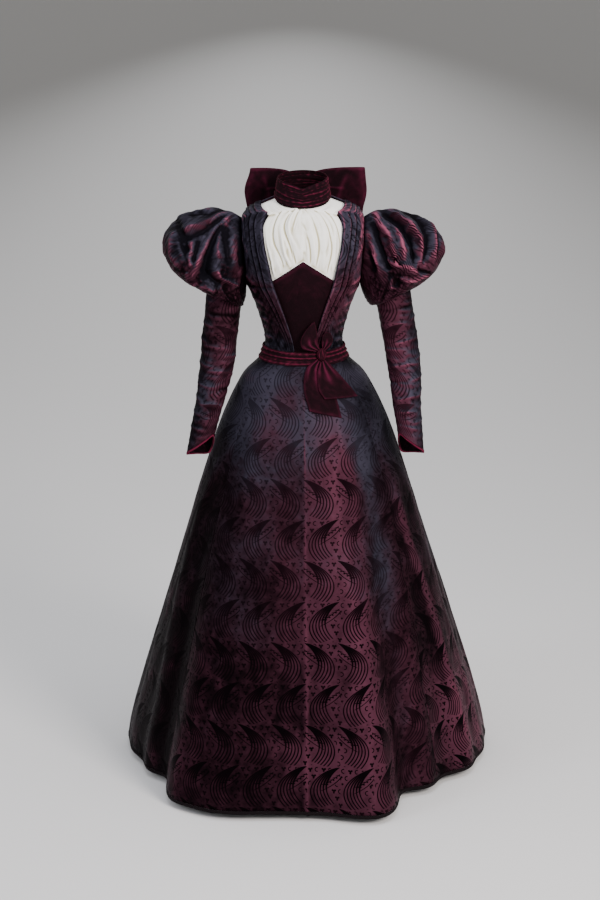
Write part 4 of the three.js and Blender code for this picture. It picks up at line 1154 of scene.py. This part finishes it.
# %% Sleeves: the arm's line and the wrinkles
LEFT_ARM = [  # height, out from the middle, forward, half width from the front and from the side
    (800, 254, 96, 29, 30),
    (866, 249, 82, 30, 31),
    (936, 242, 60, 34, 36),
    (1005, 238, 36, 39, 42),
    (1075, 229, 20, 41, 44),
    (1147, 217, 13, 42, 45),
    (1215, 207, 10, 44, 47),
]
RIGHT_ARM = [
    (800, 253, 96, 29, 30),
    (866, 240, 82, 30, 31),
    (936, 223, 60, 34, 36),
    (1005, 208, 36, 40, 42),
    (1075, 200, 20, 42, 44),
    (1147, 191, 13, 42, 45),
    (1215, 184, 10, 44, 47),
]
CUFF_EDGE = [(0, 821), (60, 838), (110, 857), (145, 867), (180, 848), (215, 822), (290, 817), (360, 821)]
SLEEVE_TOP = 1212.0
WRINKLES = [  # turn and height of both ends, half width and depth in millimetres
    (300, 1172, 90, 1160, 5, 1.9),
    (20, 1150, 150, 1138, 5, -1.8),
    (-40, 1128, 60, 1118, 4, 2.0),
    (60, 1112, 190, 1100, 5, 1.8),
    (-60, 1096, 40, 1082, 4, 2.2),
    (10, 1076, 130, 1062, 4, 2.4),
    (-70, 1062, 30, 1046, 4, -2.0),
    (90, 1050, 210, 1040, 4, 2.0),
    (-50, 1036, 80, 1024, 4, 2.6),
    (40, 1018, 170, 1004, 4, 2.4),
    (-80, 1010, 20, 996, 4, 2.2),
    (-30, 988, 100, 976, 4, 2.4),
    (80, 976, 220, 966, 4, -1.8),
    (-60, 962, 50, 950, 3.5, 2.0),
    (20, 944, 150, 932, 3.5, 2.0),
    (-50, 926, 60, 914, 3.5, 1.7),
    (50, 908, 190, 898, 3.5, 1.6),
    (-40, 890, 90, 880, 3, 1.4),
    (60, 866, 170, 874, 3, 1.1),
    (190, 1020, 330, 1008, 5, 1.8),
    (200, 1084, 320, 1094, 5, 1.8),
    (190, 950, 310, 938, 4, 1.6),
    (180, 1146, 320, 1150, 5, 1.6),
]


def arm_point(arm, side, turn, height, lift=0.0):
    """A point round an arm. turn is 0 on the outside, 90 in front, 180 inside and 270 behind."""
    sine, cosine = np.sin(np.radians(turn)), np.cos(np.radians(turn))
    out = along(arm, height, 1) + (along(arm, height, 3) + lift) * cosine
    return stack(side * out, -along(arm, height, 2) - (along(arm, height, 4) + lift) * sine, height)


def round_the_arm(table, turn, height, shift):
    """Creases on a tube: the turn is taken as 0.7 mm a degree, and each crease is laid three times, a whole
    turn apart, so that it crosses the seam."""
    rows = [(row, k) for row in table for k in (-360, 0, 360)]
    laid = [(a + k, b + shift, c + k, d + shift, *size) for (a, b, c, d, *size), k in rows]
    return creases(laid, turn * 0.7, height, 1.4, scale=(0.7, 1))


ARMS = (("left", 1, LEFT_ARM, 124), ("right", -1, RIGHT_ARM, 139))
for word, side, arm, full in ARMS:
    s, t = grid(80, 150)
    turn = s * 360
    height = mix(SLEEVE_TOP, along(CUFF_EDGE, turn, 1) - 5, t)
    fade = smooth(t * 14) * smooth((1 - t) * 16)
    lift = round_the_arm(WRINKLES, turn + 14 * side, height, 7 * side) * 0.85
    lift += 0.35 * np.sin(height / 3.1 + 2.2 * np.sin(np.radians(turn) + side) + 1.5 * np.sin(height / 23)) * (
        0.45 + 0.55 * np.sin(height / 37 + np.radians(turn) * 2) ** 2
    )
    ring_noise = crumple(55 * np.cos(np.radians(turn)), 55 * np.sin(np.radians(turn)) + height * 1.6, 42, side)
    points = arm_point(arm, side, turn, height, (lift + 0.8 * ring_noise) * fade)
    middle = arm_point(arm, side, turn, height, -along(arm, height, 3))
    node = f"sleeve_{word}"
    # painted highlight where the sleeve faces forward, stronger on the left sleeve on the key light's side, with less
    # slate there, and wrinkle ridges painted brighter
    facing = np.exp(-((turn_from(turn, 105) / 52) ** 2))
    shown = {"lustre": 0.06 + (0.33 if side > 0 else 0.15) * facing + 0.07 * lift, "slate": 0.1 - 0.4 * facing}
    shown |= {"out": points - middle, "ring": True}
    sheet(f"silk_{node}", points, node, "silk_damask", silk_sleeve, "stretched", **shown)
    s, t = grid(120, 10)
    turn = s * 360
    out, down = bound_edge(t, -1.0, 2.0, 6)
    edge = along(CUFF_EDGE, turn, 1) - 4 * GAP
    points = arm_point(arm, side, turn, edge, out)
    points[..., 2] -= down
    node = f"cuff_binding_{word}"
    middle = arm_point(arm, side, turn, edge, -30.0)
    shown = {"out": points - middle, "ring": True, "rests_on": [f"sleeve_{word}"]}
    sheet(f"velvet_{node}", points, node, "velvet", velvet_crushed, "folded", thickness=1.2, **shown)

# %% [markdown]
# ## The sleeve heads
# A balloon of silk is pleated into the armhole and gathered in again above the elbow, and falls over the
# tight sleeve. Its curve starts at the armhole, swings out and turns down. The pleats spread from the
# shoulder like a fan: each is a ridge with a knife edge that drifts round the balloon as it falls, and the
# deep valleys between them are what give the balloon its light and dark. That light and dark is also
# painted into the silk, with ridges painted bright and valleys dark.

# %% Sleeve heads
PUFF_FOLDS = {  # half width, depth, then places along it: out from the middle and up from the shoulder line
    "right": [
        (9, 12, (152, 10), (170, 4), (197, -12), (211, -31), (230, -68), (244, -101), (258, -134)),
        (13, -22, (182, -8), (200, -30), (212, -52), (221, -80), (226, -105), (230, -136)),
        (9, 10, (150, 14), (200, 6), (234, -8), (262, -18), (286, -28)),
        (8, -9, (160, 12), (200, -4), (232, -22), (262, -36), (290, -42)),
        (15, -11, (262, -54), (284, -64)),
        (7, 8, (252, -40), (258, -60), (262, -84), (256, -104)),
        (6, -7, (240, -40), (246, -66), (254, -92)),
        (7, 9, (296, -26), (306, -48), (306, -76), (284, -114)),
        (6, -8, (297, -4), (290, -22), (276, -34)),
        (7, 8, (284, 8), (268, 20), (240, 24), (205, 20)),
        (5, -6, (160, 18), (200, 14), (245, 12), (276, 2)),
        (8, 10, (156, -4), (158, -30), (157, -58), (153, -100), (149, -132)),
        (8, -14, (142, 0), (142, -54), (146, -112)),
        (9, -9, (170, -16), (178, -44), (176, -76), (168, -104)),
        (7, 9, (176, 0), (192, -28), (200, -60), (196, -90)),
        (7, 10, (204, -108), (190, -128), (168, -144), (150, -154)),
        (10, -12, (224, -112), (208, -130), (186, -142)),
        (6, 8, (238, -142), (222, -152), (200, -158)),
        (6, 6, (268, -112), (262, -132), (246, -148)),
        (4, 4, (150, 4), (164, -14), (172, -34)),
        (4, 4, (152, 8), (176, -4), (190, -18)),
        (4, -4, (151, 0), (160, -18), (164, -40)),
    ],
    "left": [
        (10, -20, (152, 8), (162, -26), (178, -64), (190, -98), (202, -128), (210, -160)),
        (7, 10, (160, 10), (176, -6), (196, -30), (206, -62), (214, -92), (222, -112)),
        (8, 9, (160, 14), (190, 2), (214, -16), (231, -44), (235, -66), (229, -90)),
        (13, -7, (192, -34), (206, -58)),
        (8, 10, (186, -88), (211, -100), (242, -106), (272, -120)),
        (12, -21, (172, 10), (200, 0), (226, -16), (244, -40), (252, -70), (258, -104)),
        (9, 11, (190, 16), (222, 6), (251, -13), (273, -46), (278, -82), (272, -108)),
        (8, -17, (224, 20), (252, 14), (274, -4), (289, -34), (290, -66), (276, -102)),
        (7, 9, (262, 16), (292, -4), (304, -34), (306, -66), (298, -98)),
        (5, -8, (296, -6), (311, -30), (314, -58), (309, -90)),
        (7, 8, (300, -10), (319, -36), (327, -68), (322, -98)),
        (6, 7, (150, 20), (190, 22), (236, 28), (262, 20)),
        (6, -9, (262, -112), (280, -120), (300, -126)),
        (6, 9, (214, -128), (240, -136), (268, -132), (296, -124)),
        (7, 12, (196, -110), (204, -136), (211, -166)),
        (8, -10, (224, -122), (216, -142), (214, -160)),
        (7, 9, (149, -10), (156, -50), (168, -92), (182, -132)),
        (9, -10, (146, -40), (156, -84), (170, -126)),
        (4, 4, (156, 10), (172, -8), (182, -26)),
        (4, 4, (160, 12), (184, 0), (204, -16)),
        (4, -4, (154, 6), (168, -14), (176, -36)),
        (4, 4, (232, -34), (246, -20), (262, -26)),
        (4, 4, (240, -58), (256, -60), (268, -74)),
    ],
}


def puff_surface(arm, turn, t, full):
    """From the armhole's edge to the upper arm, plus a bulge that is strongest halfway. The bulge is full at
    the shoulder, less in front and behind, hangs under the arm, and turns from 43 degrees up to 5 down."""
    sine, cosine = np.sin(np.radians(turn)), np.cos(np.radians(turn))
    start = armhole(turn, 1, CLOTH + 2 * GAP)
    end = arm_point(arm, 1, turn, 1187 + 19 * cosine + 6 * sine, 3 * GAP)
    tip = np.radians(mix(43, -5, t))
    top = ((1 + cosine) / 2) ** 1.4 * full
    under = ((1 - cosine) / 2) ** 2 * 26
    beside = np.abs(sine) ** 1.3 * np.sign(sine) * 66
    bulge = stack(
        top * np.cos(tip) + 0.3 * np.abs(beside) + 0.05 * under,
        -beside,
        top * np.sin(tip) - 0.25 * t * np.abs(beside) - under,
    )
    swell = np.sin(math.pi * np.clip(t, 0, 1)) ** 0.75
    return mix(start, end, t[..., None]) + bulge * swell[..., None], swell


def routed(folds, x, z):
    """Each fold is a ridge or a valley along a bent route seen from the front. It falls off as the power 1.35 of
    the distance from the route, and fades at both ends."""
    out = np.zeros_like(x)
    for width, depth, *places in folds:
        route = np.array(places, float)
        strides = np.diff(route, axis=0)
        lengths = np.linalg.norm(strides, axis=1)
        nearest, share = np.full(x.shape, 1e9), np.zeros_like(x)
        for k, (start, stride, length) in enumerate(zip(route, strides, lengths)):
            at = np.clip(((x - start[0]) * stride[0] + (z - start[1]) * stride[1]) / length**2, 0, 1)
            away = np.hypot(x - start[0] - at * stride[0], z - start[1] - at * stride[1])
            share = np.where(away < nearest, (lengths[:k].sum() + at * length) / lengths.sum(), share)
            nearest = np.minimum(nearest, away)
        ends = smooth(share * 5 + 0.35) * smooth((1 - share) * 4 + 0.2)
        out += depth * ends * np.exp(-((nearest / width) ** 1.35))
    return out


for word, side, arm, full in ARMS:
    s, t = grid(250, 84)
    turn = s * 360
    points, swell = puff_surface(arm, turn, t, full)
    middle = points[:, :-1].mean(axis=1, keepdims=True)
    out = points - middle + np.array([12.0, 0, 0])
    sine = np.sin(np.radians(turn))
    bent = 4 * crumple(points[..., 0], points[..., 2], 90, side)
    x, z = points[..., 0] + bent, points[..., 2] - SHOULDER - bent
    other = "left" if word == "right" else "right"
    folds = routed(PUFF_FOLDS[word], x, z) * smooth(0.42 + 2.2 * sine)
    folds += routed(PUFF_FOLDS[other], x, z) * smooth(0.42 - 2.2 * sine)
    circle = stack(np.cos(np.radians(turn)), sine, 0 * s)
    small = crumple(90 * circle[..., 0] + 40 * t, 90 * circle[..., 1] + 170 * t, 55, 4 + side)
    tiny = crumple(110 * circle[..., 0] - 50 * t, 110 * circle[..., 1] + 190 * t, 19, 9 + side)
    fold = folds * swell**0.35 + (1.6 * small + 1.5 * np.abs(tiny)) * swell
    points = raised(points, fold * smooth(t * 12) * smooth((1 - t) * 14), out, ring=True)
    points[..., 0] *= side
    out[..., 0] *= side
    node = f"sleeve_puff_{word}"
    # painted light: ridges painted bright and valleys dark, the left sleeve head on the key light's side brighter with
    # a painted highlight patch halfway down, the side turned back painted darker, and slate painted as a reflection by
    # the folds and the side
    lustre = (0.06 if side < 0 else 0.2) + 0.024 * np.clip(folds, -12, 12) + 0.1 * small + 0.16 * np.abs(tiny)
    lustre = lustre - 0.16 * smooth(0.2 - sine)
    lustre = lustre + (0.3 if side > 0 else 0.1) * np.exp(-(((x - 205) / 40) ** 2) - ((z + 55) / 40) ** 2)
    slate = (0.2 if side < 0 else -0.25) - 0.05 * folds - 0.5 * np.abs(tiny)
    shown = {"lustre": lustre, "slate": slate, "rests_on": [f"sleeve_{word}"]}
    sheet(f"silk_{node}", points, node, "silk_damask", silk_puff, "gathered", out=out, ring=True, **shown)

# %% [markdown]
# ## The sash
# The sash is another bias band of velvet, drawn into folds round the waist and tied at the left of the front.
# It lies on the bodice above the waist seam and on the skirt below it, so it is cut from their surfaces. Its
# loops and ends are flat bands that narrow into the knot, where the velvet is crushed into short creases.

# %% Sash
SASH_FOLDS = [(0.14, 0.05, 1, 0.4, 0.08, 1.7), (0.36, 0.07, 1, 2.0, 0.06, -1.5), (0.55, 0.06, 2, 1.0, 0.08, 2.0)]
SASH_FOLDS += [(0.72, 0.07, 1, 4.4, 0.05, -1.5), (0.88, 0.04, 2, 3.0, 0.08, 1.7)]


def waist_point(angle, height, lift):
    """The dress's surface at the waist: the bodice above the seam and the skirt below it."""
    turned = (angle + 540) % 360 - 180
    from_front = np.abs(turned)
    half = np.where(from_front <= 90, 1, -1)
    u = np.where(half > 0, from_front, 180 - from_front) / 90
    upper = torso_point(u, np.maximum(height - WAIST, 0) / TALL, np.where(turned < 0, -1, 1), half, lift)
    lower = skirt_point(angle, np.minimum(height, WAIST), lift)
    return np.where((height < WAIST)[..., None], lower, upper)


s, t = grid(300, 30)
angle = s * 360
dip = 9 * np.maximum(0, np.cos(np.radians(angle))) ** 1.5
fold = wandering(SASH_FOLDS, angle, t, swell=0.25, swells=4, phase=1.7, sharp=1.7)
fold += 0.3 * crumple(angle * 1.7, t * 31, 15, 2.0)
fold *= smooth(t * 10) * smooth((1 - t) * 10)
points = waist_point(angle, 1035 - dip + 31 * t, CLOTH + 1.6 + 2.0 + 0.6 + np.maximum(fold, -1.2))
sheet("velvet_sash", points[::-1], "sash", "velvet", velvet_crushed, "folded", ring=True, thickness=1.4)

# %% Sash: loops and ends


def front_point(x, height, lift):
    """The point of the dress's front straight behind a place seen from the front, moved forward by the lift.
    The angle round is found by a dozen corrections, each of a share of what is still missing."""
    angle = np.zeros_like(x)
    for _ in range(12):
        angle = angle + (x - waist_point(angle, height, 0.0)[..., 0]) / 2.2
    level = waist_point(angle, height, 0.0)
    return stack(x, level[..., 1] - lift, height)


SASH_PIECES = {  # way from the knot, left and right edge, height of each, how far it stands off the cloth
    "sash_loop_large": [
        (0, 28.5, 36.8, 1060, 1066.5, 15),
        (0.3, -2, 33, 1068, 1084, 17),
        (0.6, -7, 32, 1088, 1100, 17),
        (0.85, 5, 29, 1112, 1118, 13),
        (1, 19, 25, 1128, 1132, 9),
    ],
    "sash_loop_small": [
        (0, 42.5, 50, 1068.8, 1061, 16),
        (0.35, 42, 64, 1083, 1072, 16),
        (0.7, 44, 68, 1097, 1087, 17),
        (1, 52, 62, 1106, 1102, 15),
    ],
    "sash_end_long": [
        (0, 32, 41, 1043, 1036, 9),
        (0.25, 6, 50, 1022, 1012, 8),
        (0.6, -1, 72, 976, 962, 6),
        (1, 12, 88, 924, 905, 5),
    ],
    "sash_end_short": [
        (0, 38, 50, 1035.6, 1040.6, 16),
        (0.3, 31, 72, 1012, 1018, 16),
        (0.7, 34, 106, 974, 978, 14),
        (1, 48, 126, 951, 951, 12),
    ],
}
PIECE_CREASES = [  # across at the knot, across further out, half width as a share, depth, how far out it runs
    (0.15, 0.1, 0.07, 1.8, 0.55),
    (0.34, 0.28, 0.06, -1.6, 0.4),
    (0.5, 0.5, 0.08, 2.2, 0.7),
    (0.68, 0.74, 0.06, -1.6, 0.45),
    (0.85, 0.9, 0.07, 1.8, 0.6),
]
for node, table in SASH_PIECES.items():
    s, t = grid(44, 56)
    hollow = 3 * np.sin(s * math.pi) * np.sin(t * math.pi)
    fold = np.zeros_like(s)
    for near, far, width, depth, reach in PIECE_CREASES:
        fold += depth * np.exp(-(np.abs(s - mix(near, far, t)) / (width * (1 + t))) ** 1.6) * smooth((reach - t) / 0.3)
    rolled = -0.8 * smooth(1 - np.minimum(s, 1 - s) / 0.03) - 0.8 * smooth((t - 0.975) / 0.025) * (hollow < 9)
    lift = along(table, t, 5) + hollow + 2 + np.maximum(fold, -1.2) * 0.8 * smooth(t * 14) + rolled
    lift += 0.4 * crumple(s * 60, t * 90, 38, len(node))
    x = mix(along(table, t, 1), along(table, t, 2), s)
    height = mix(along(table, t, 3), along(table, t, 4), s)
    ahead = stack(0 * s, -1 + 0 * s, 0 * s)
    rests = ["skirt_front"] if "end" in node else ["sash"]
    points = front_point(x, height, lift)
    # painted sheen: the edges, the far end and the part near the knot painted bright, and crease ridges brighter
    edge_sheen = np.exp(-np.minimum(s, 1 - s) / 0.03) + np.exp(-(1 - t) / 0.03) + 0.8 * np.exp(-t / 0.12)
    shown = {"out": ahead, "thickness": 1.2, "rests_on": rests, "lustre": 0.38 + 0.16 * edge_sheen + 0.22 * fold}
    sheet(f"velvet_{node}", points, node, "velvet", velvet_flat, "hung", **shown)

# %% [markdown]
# ## The knots and the bow behind the neck
# A knot is a turn of the band pulled tight, so it is a barrel of velvet with creases along its pull, closed
# to a small hole at each end where the loops come out. The bow behind the neck has two stiffened loops: each
# leaves the knot, opens to a tall flat face, turns at its outer end and comes back behind itself.

# %% Knots


def barrel(centre, across, deep, high, seed):
    """A ball flattened to a band: its section round the upright axis is an ellipse, and its radius is drawn in at
    the top and bottom as a half circle's. Creases run up it, in uneven numbers."""
    s, t = grid(84, 36)
    turn, up = s * 2 * math.pi, mix(-0.49, 0.49, t) * math.pi
    pull = 0.05 * np.sin(turn * 5 + seed + 1.5 * np.sin(up * 2)) + 0.035 * np.sin(turn * 9 + 2 * seed - up)
    pull = (pull + 0.03 * np.sin(turn * 14 + up * 3)) * np.cos(up) ** 0.5 - 0.03
    radius = np.cos(up) * (1 + pull)
    out = stack(np.cos(turn), np.sin(turn), 0 * turn)
    points = stack(across * radius * np.cos(turn), deep * radius * np.sin(turn), high * np.sin(up)) + centre
    return points, out + stack(0 * up, 0 * up, np.sin(up))


knot_front = front_point(np.array([42.0]), np.array([1053.0]), CLOTH + 1.6 + CLOTH + 2.2 + 8)[0] + [0, -2.2, 0]
points, out = barrel(knot_front, 11, 8, 15, 1.0)
rests = ["sash"]
sheet("velvet_sash_knot", points, "sash_knot", "velvet", velvet_crushed, "folded", out=out, ring=True, rests_on=rests)
points, out = barrel(np.array([0, 74.5, 1438]), 12, 15, 21, 2.3)
rests = ["collar"]
sheet("velvet_neck_knot", points, "neck_bow_knot", "velvet", velvet_crushed, "folded", out=out, ring=True, rests_on=rests)

# %% Bow behind the neck
NECK_LOOP = [  # way round the loop, share of its reach, how far back, half its height, its middle's rise
    (0, 0, 69, 15, 0),
    (0.14, 0.19, 88, 33, -6),
    (0.3, 0.52, 98, 49, -17),
    (0.44, 0.92, 99, 54, -22),
    (0.5, 1, 108, 54, -22),
    (0.56, 0.92, 118, 54, -22),
    (0.7, 0.52, 120, 48, -17),
    (0.86, 0.19, 106, 32, -6),
    (1, 0, 82, 15, 0),
]
BOW_CREASES = [  # way and share of the height at both ends, half width and depth, in millimetres
    (0.02, 0.5, 0.2, 0.56, 4, 2.4),
    (0.02, 0.36, 0.26, 0.3, 5, -2.6),
    (0.02, 0.64, 0.22, 0.78, 4, 2.2),
    (0.04, 0.22, 0.18, 0.12, 4, 2.0),
    (0.18, 0.44, 0.34, 0.52, 3.5, 1.6),
    (0.3, 0.2, 0.36, 0.86, 9, 1.8),
    (0.8, 0.5, 0.98, 0.48, 5, 2.4),
    (0.78, 0.72, 0.97, 0.62, 5, -2.2),
    (0.8, 0.26, 0.97, 0.36, 5, 2.2),
]
# How far each loop reaches, and how far its outer end is drawn in at its top and bottom corners.
for word, side, reach, top_in, low_in in (("left", 1, 152, 4, 10), ("right", -1, 138, 15, 8)):
    s, t = grid(140, 50)
    rise = along(NECK_LOOP, s, 4) + along(NECK_LOOP, s, 3) * mix(-1, 1, t)
    share = along(NECK_LOOP, s, 1)
    drawn_in = share**2 * (top_in * smooth(t * 1.6 - 0.6) ** 1.5 + low_in * smooth(1 - t * 1.6) ** 1.5)
    surface = stack(mix(11.6, reach, share) - drawn_in, along(NECK_LOOP, s, 2), 1438 + rise)
    out = stack(np.exp(-(((s - 0.5) / 0.08) ** 2)), -np.cos(s * math.pi), 0 * s)
    laid = [(a * 360, b * 100, c * 360, d * 100, w, h) for a, b, c, d, w, h in BOW_CREASES]
    fold = creases(laid, s * 360, t * 100, 1.4) * (1 if side > 0 else 0.8)
    fold += 0.6 * crumple(s * 360, t * 110, 55, 5 + side)
    rolled = -0.9 * smooth(1 - np.minimum(t, 1 - t) / 0.025)
    points = raised(surface, 2 + fold * smooth(s * 16) * smooth((1 - s) * 16) + rolled, out)
    points[..., 0] *= side
    out[..., 0] *= side
    node = f"neck_bow_loop_{word}"
    # painted sheen: the edges and the turn at the outer end painted bright, fold ridges brighter, and the outer half
    # of the front face brighter
    edge = np.exp(-np.minimum(t, 1 - t) / 0.03) + np.exp(-np.abs(s - 0.5) / 0.012)
    lustre = 0.38 + 0.26 * edge + 0.07 * fold + 0.12 * smooth((s - 0.25) * 5) * smooth((0.5 - s) * 9)
    rests = ["neck_bow_knot"]
    shown = {"out": out, "thickness": 1.4, "rests_on": rests, "lustre": lustre}
    sheet(f"velvet_{node}", points, node, "velvet", velvet_flat, "folded", **shown)
print("all pieces:", total_triangles, "triangles")

# %% [markdown]
# ## Floor, light and camera
# The dress stands on a pale floor that runs far back, so its far end is the backdrop. A pool of light is
# painted on it: its paint is palest in a wide pool behind the dress and darkens smoothly away from it. Two
# large soft boxes stand to the front, the stronger at the right, and a dim one hangs in front above. The
# studio's own light is soft and grey.

# %% Floor
FLOOR = -SHOULDER / 1000
s, t = grid(12, 12)
ground = stack(mix(-700, 700, s), mix(-700, 700, t), FLOOR + 0 * s)
j, i = np.meshgrid(np.arange(12), np.arange(12), indexing="ij")
faces = np.stack([j * 13 + i, j * 13 + i + 1, (j + 1) * 13 + i + 1, (j + 1) * 13 + i], axis=-1)
floor_mesh = bpy.data.meshes.new("studio floor")
floor_mesh.from_pydata(ground.reshape(-1, 3).tolist(), [], faces.reshape(-1, 4).tolist())
floor_paint_with_light_pool, tree, shader = fabric("matt floor paint", Roughness=0.95)
shader.inputs["Specular IOR Level"].default_value = 0.05
place = add(tree, "TexCoord").outputs["Object"]
# painted pool of light: the floor's colour is palest at the pool's middle and darker away from it
painted_light_pool = add(tree, "Mapping", in0=place, Location=(0.15, -0.17, 0.0), Scale=(0.5, 0.028, 0.0))
away = add(tree, "VectorMath", {"operation": "LENGTH"}, in0=painted_light_pool.outputs[0])
tone = add(tree, "MapRange", {"interpolation_type": "SMOOTHSTEP"}, in0=away.outputs["Value"], in1=0.0, in2=2.7)
colour = add(tree, "Mix", {"data_type": "RGBA"}, in0=tone.outputs[0], in6=linear("#e2e2e4"), in7=linear("#8c8b8a"))
tree.links.new(colour.outputs[2], shader.inputs["Base Color"])
floor_mesh.materials.append(floor_paint_with_light_pool)
studio_floor = bpy.data.objects.new("studio floor", floor_mesh)
bpy.context.collection.objects.link(studio_floor)

# %% Lights


def soft_box(name, place, towards, size, watts, colour):
    """An area light at a place, turned to look at a point."""
    light = bpy.data.lights.new(name, "AREA")
    light.shape, light.size, light.size_y = "RECTANGLE", size[0], size[1]
    light.energy, light.color = watts, linear(colour)[:3]
    box = bpy.data.objects.new(name, light)
    box.location = place
    box.rotation_euler = (Vector(place) - Vector(towards)).to_track_quat("Z", "Y").to_euler()
    bpy.context.collection.objects.link(box)
    return box


soft_box("right soft box", (2.2, -3.4, 1.3), (0, 0, -0.5), (1.2, 1.6), 215, "#fff6ee")
soft_box("left soft box", (-3.2, -2.4, 1.2), (0, 0, -0.3), (1.2, 1.6), 36, "#f2f5ff")
soft_box("overhead soft box", (0.2, -0.9, 2.8), (0, 0.6, -1.3), (2.4, 1.6), 40, "#eef2ff")
world = bpy.data.worlds.new("studio")
bpy.context.scene.world = world
world.use_nodes = True
world.node_tree.nodes["Background"].inputs[0].default_value = linear("#c6c5c4")
world.node_tree.nodes["Background"].inputs[1].default_value = 1.5

# %% Camera
camera = bpy.data.cameras.new("camera")
camera.lens, camera.sensor_width = 85.12, 36.0
camera.shift_x, camera.shift_y = -1 / 900, 5 / 900
camera_object = bpy.data.objects.new("camera", camera)
camera_object.location = (0, -5.0, 0.535)
camera_object.rotation_euler = (math.radians(90 - 12.5), math.radians(0.45), 0)
bpy.context.collection.objects.link(camera_object)
bpy.context.scene.camera = camera_object
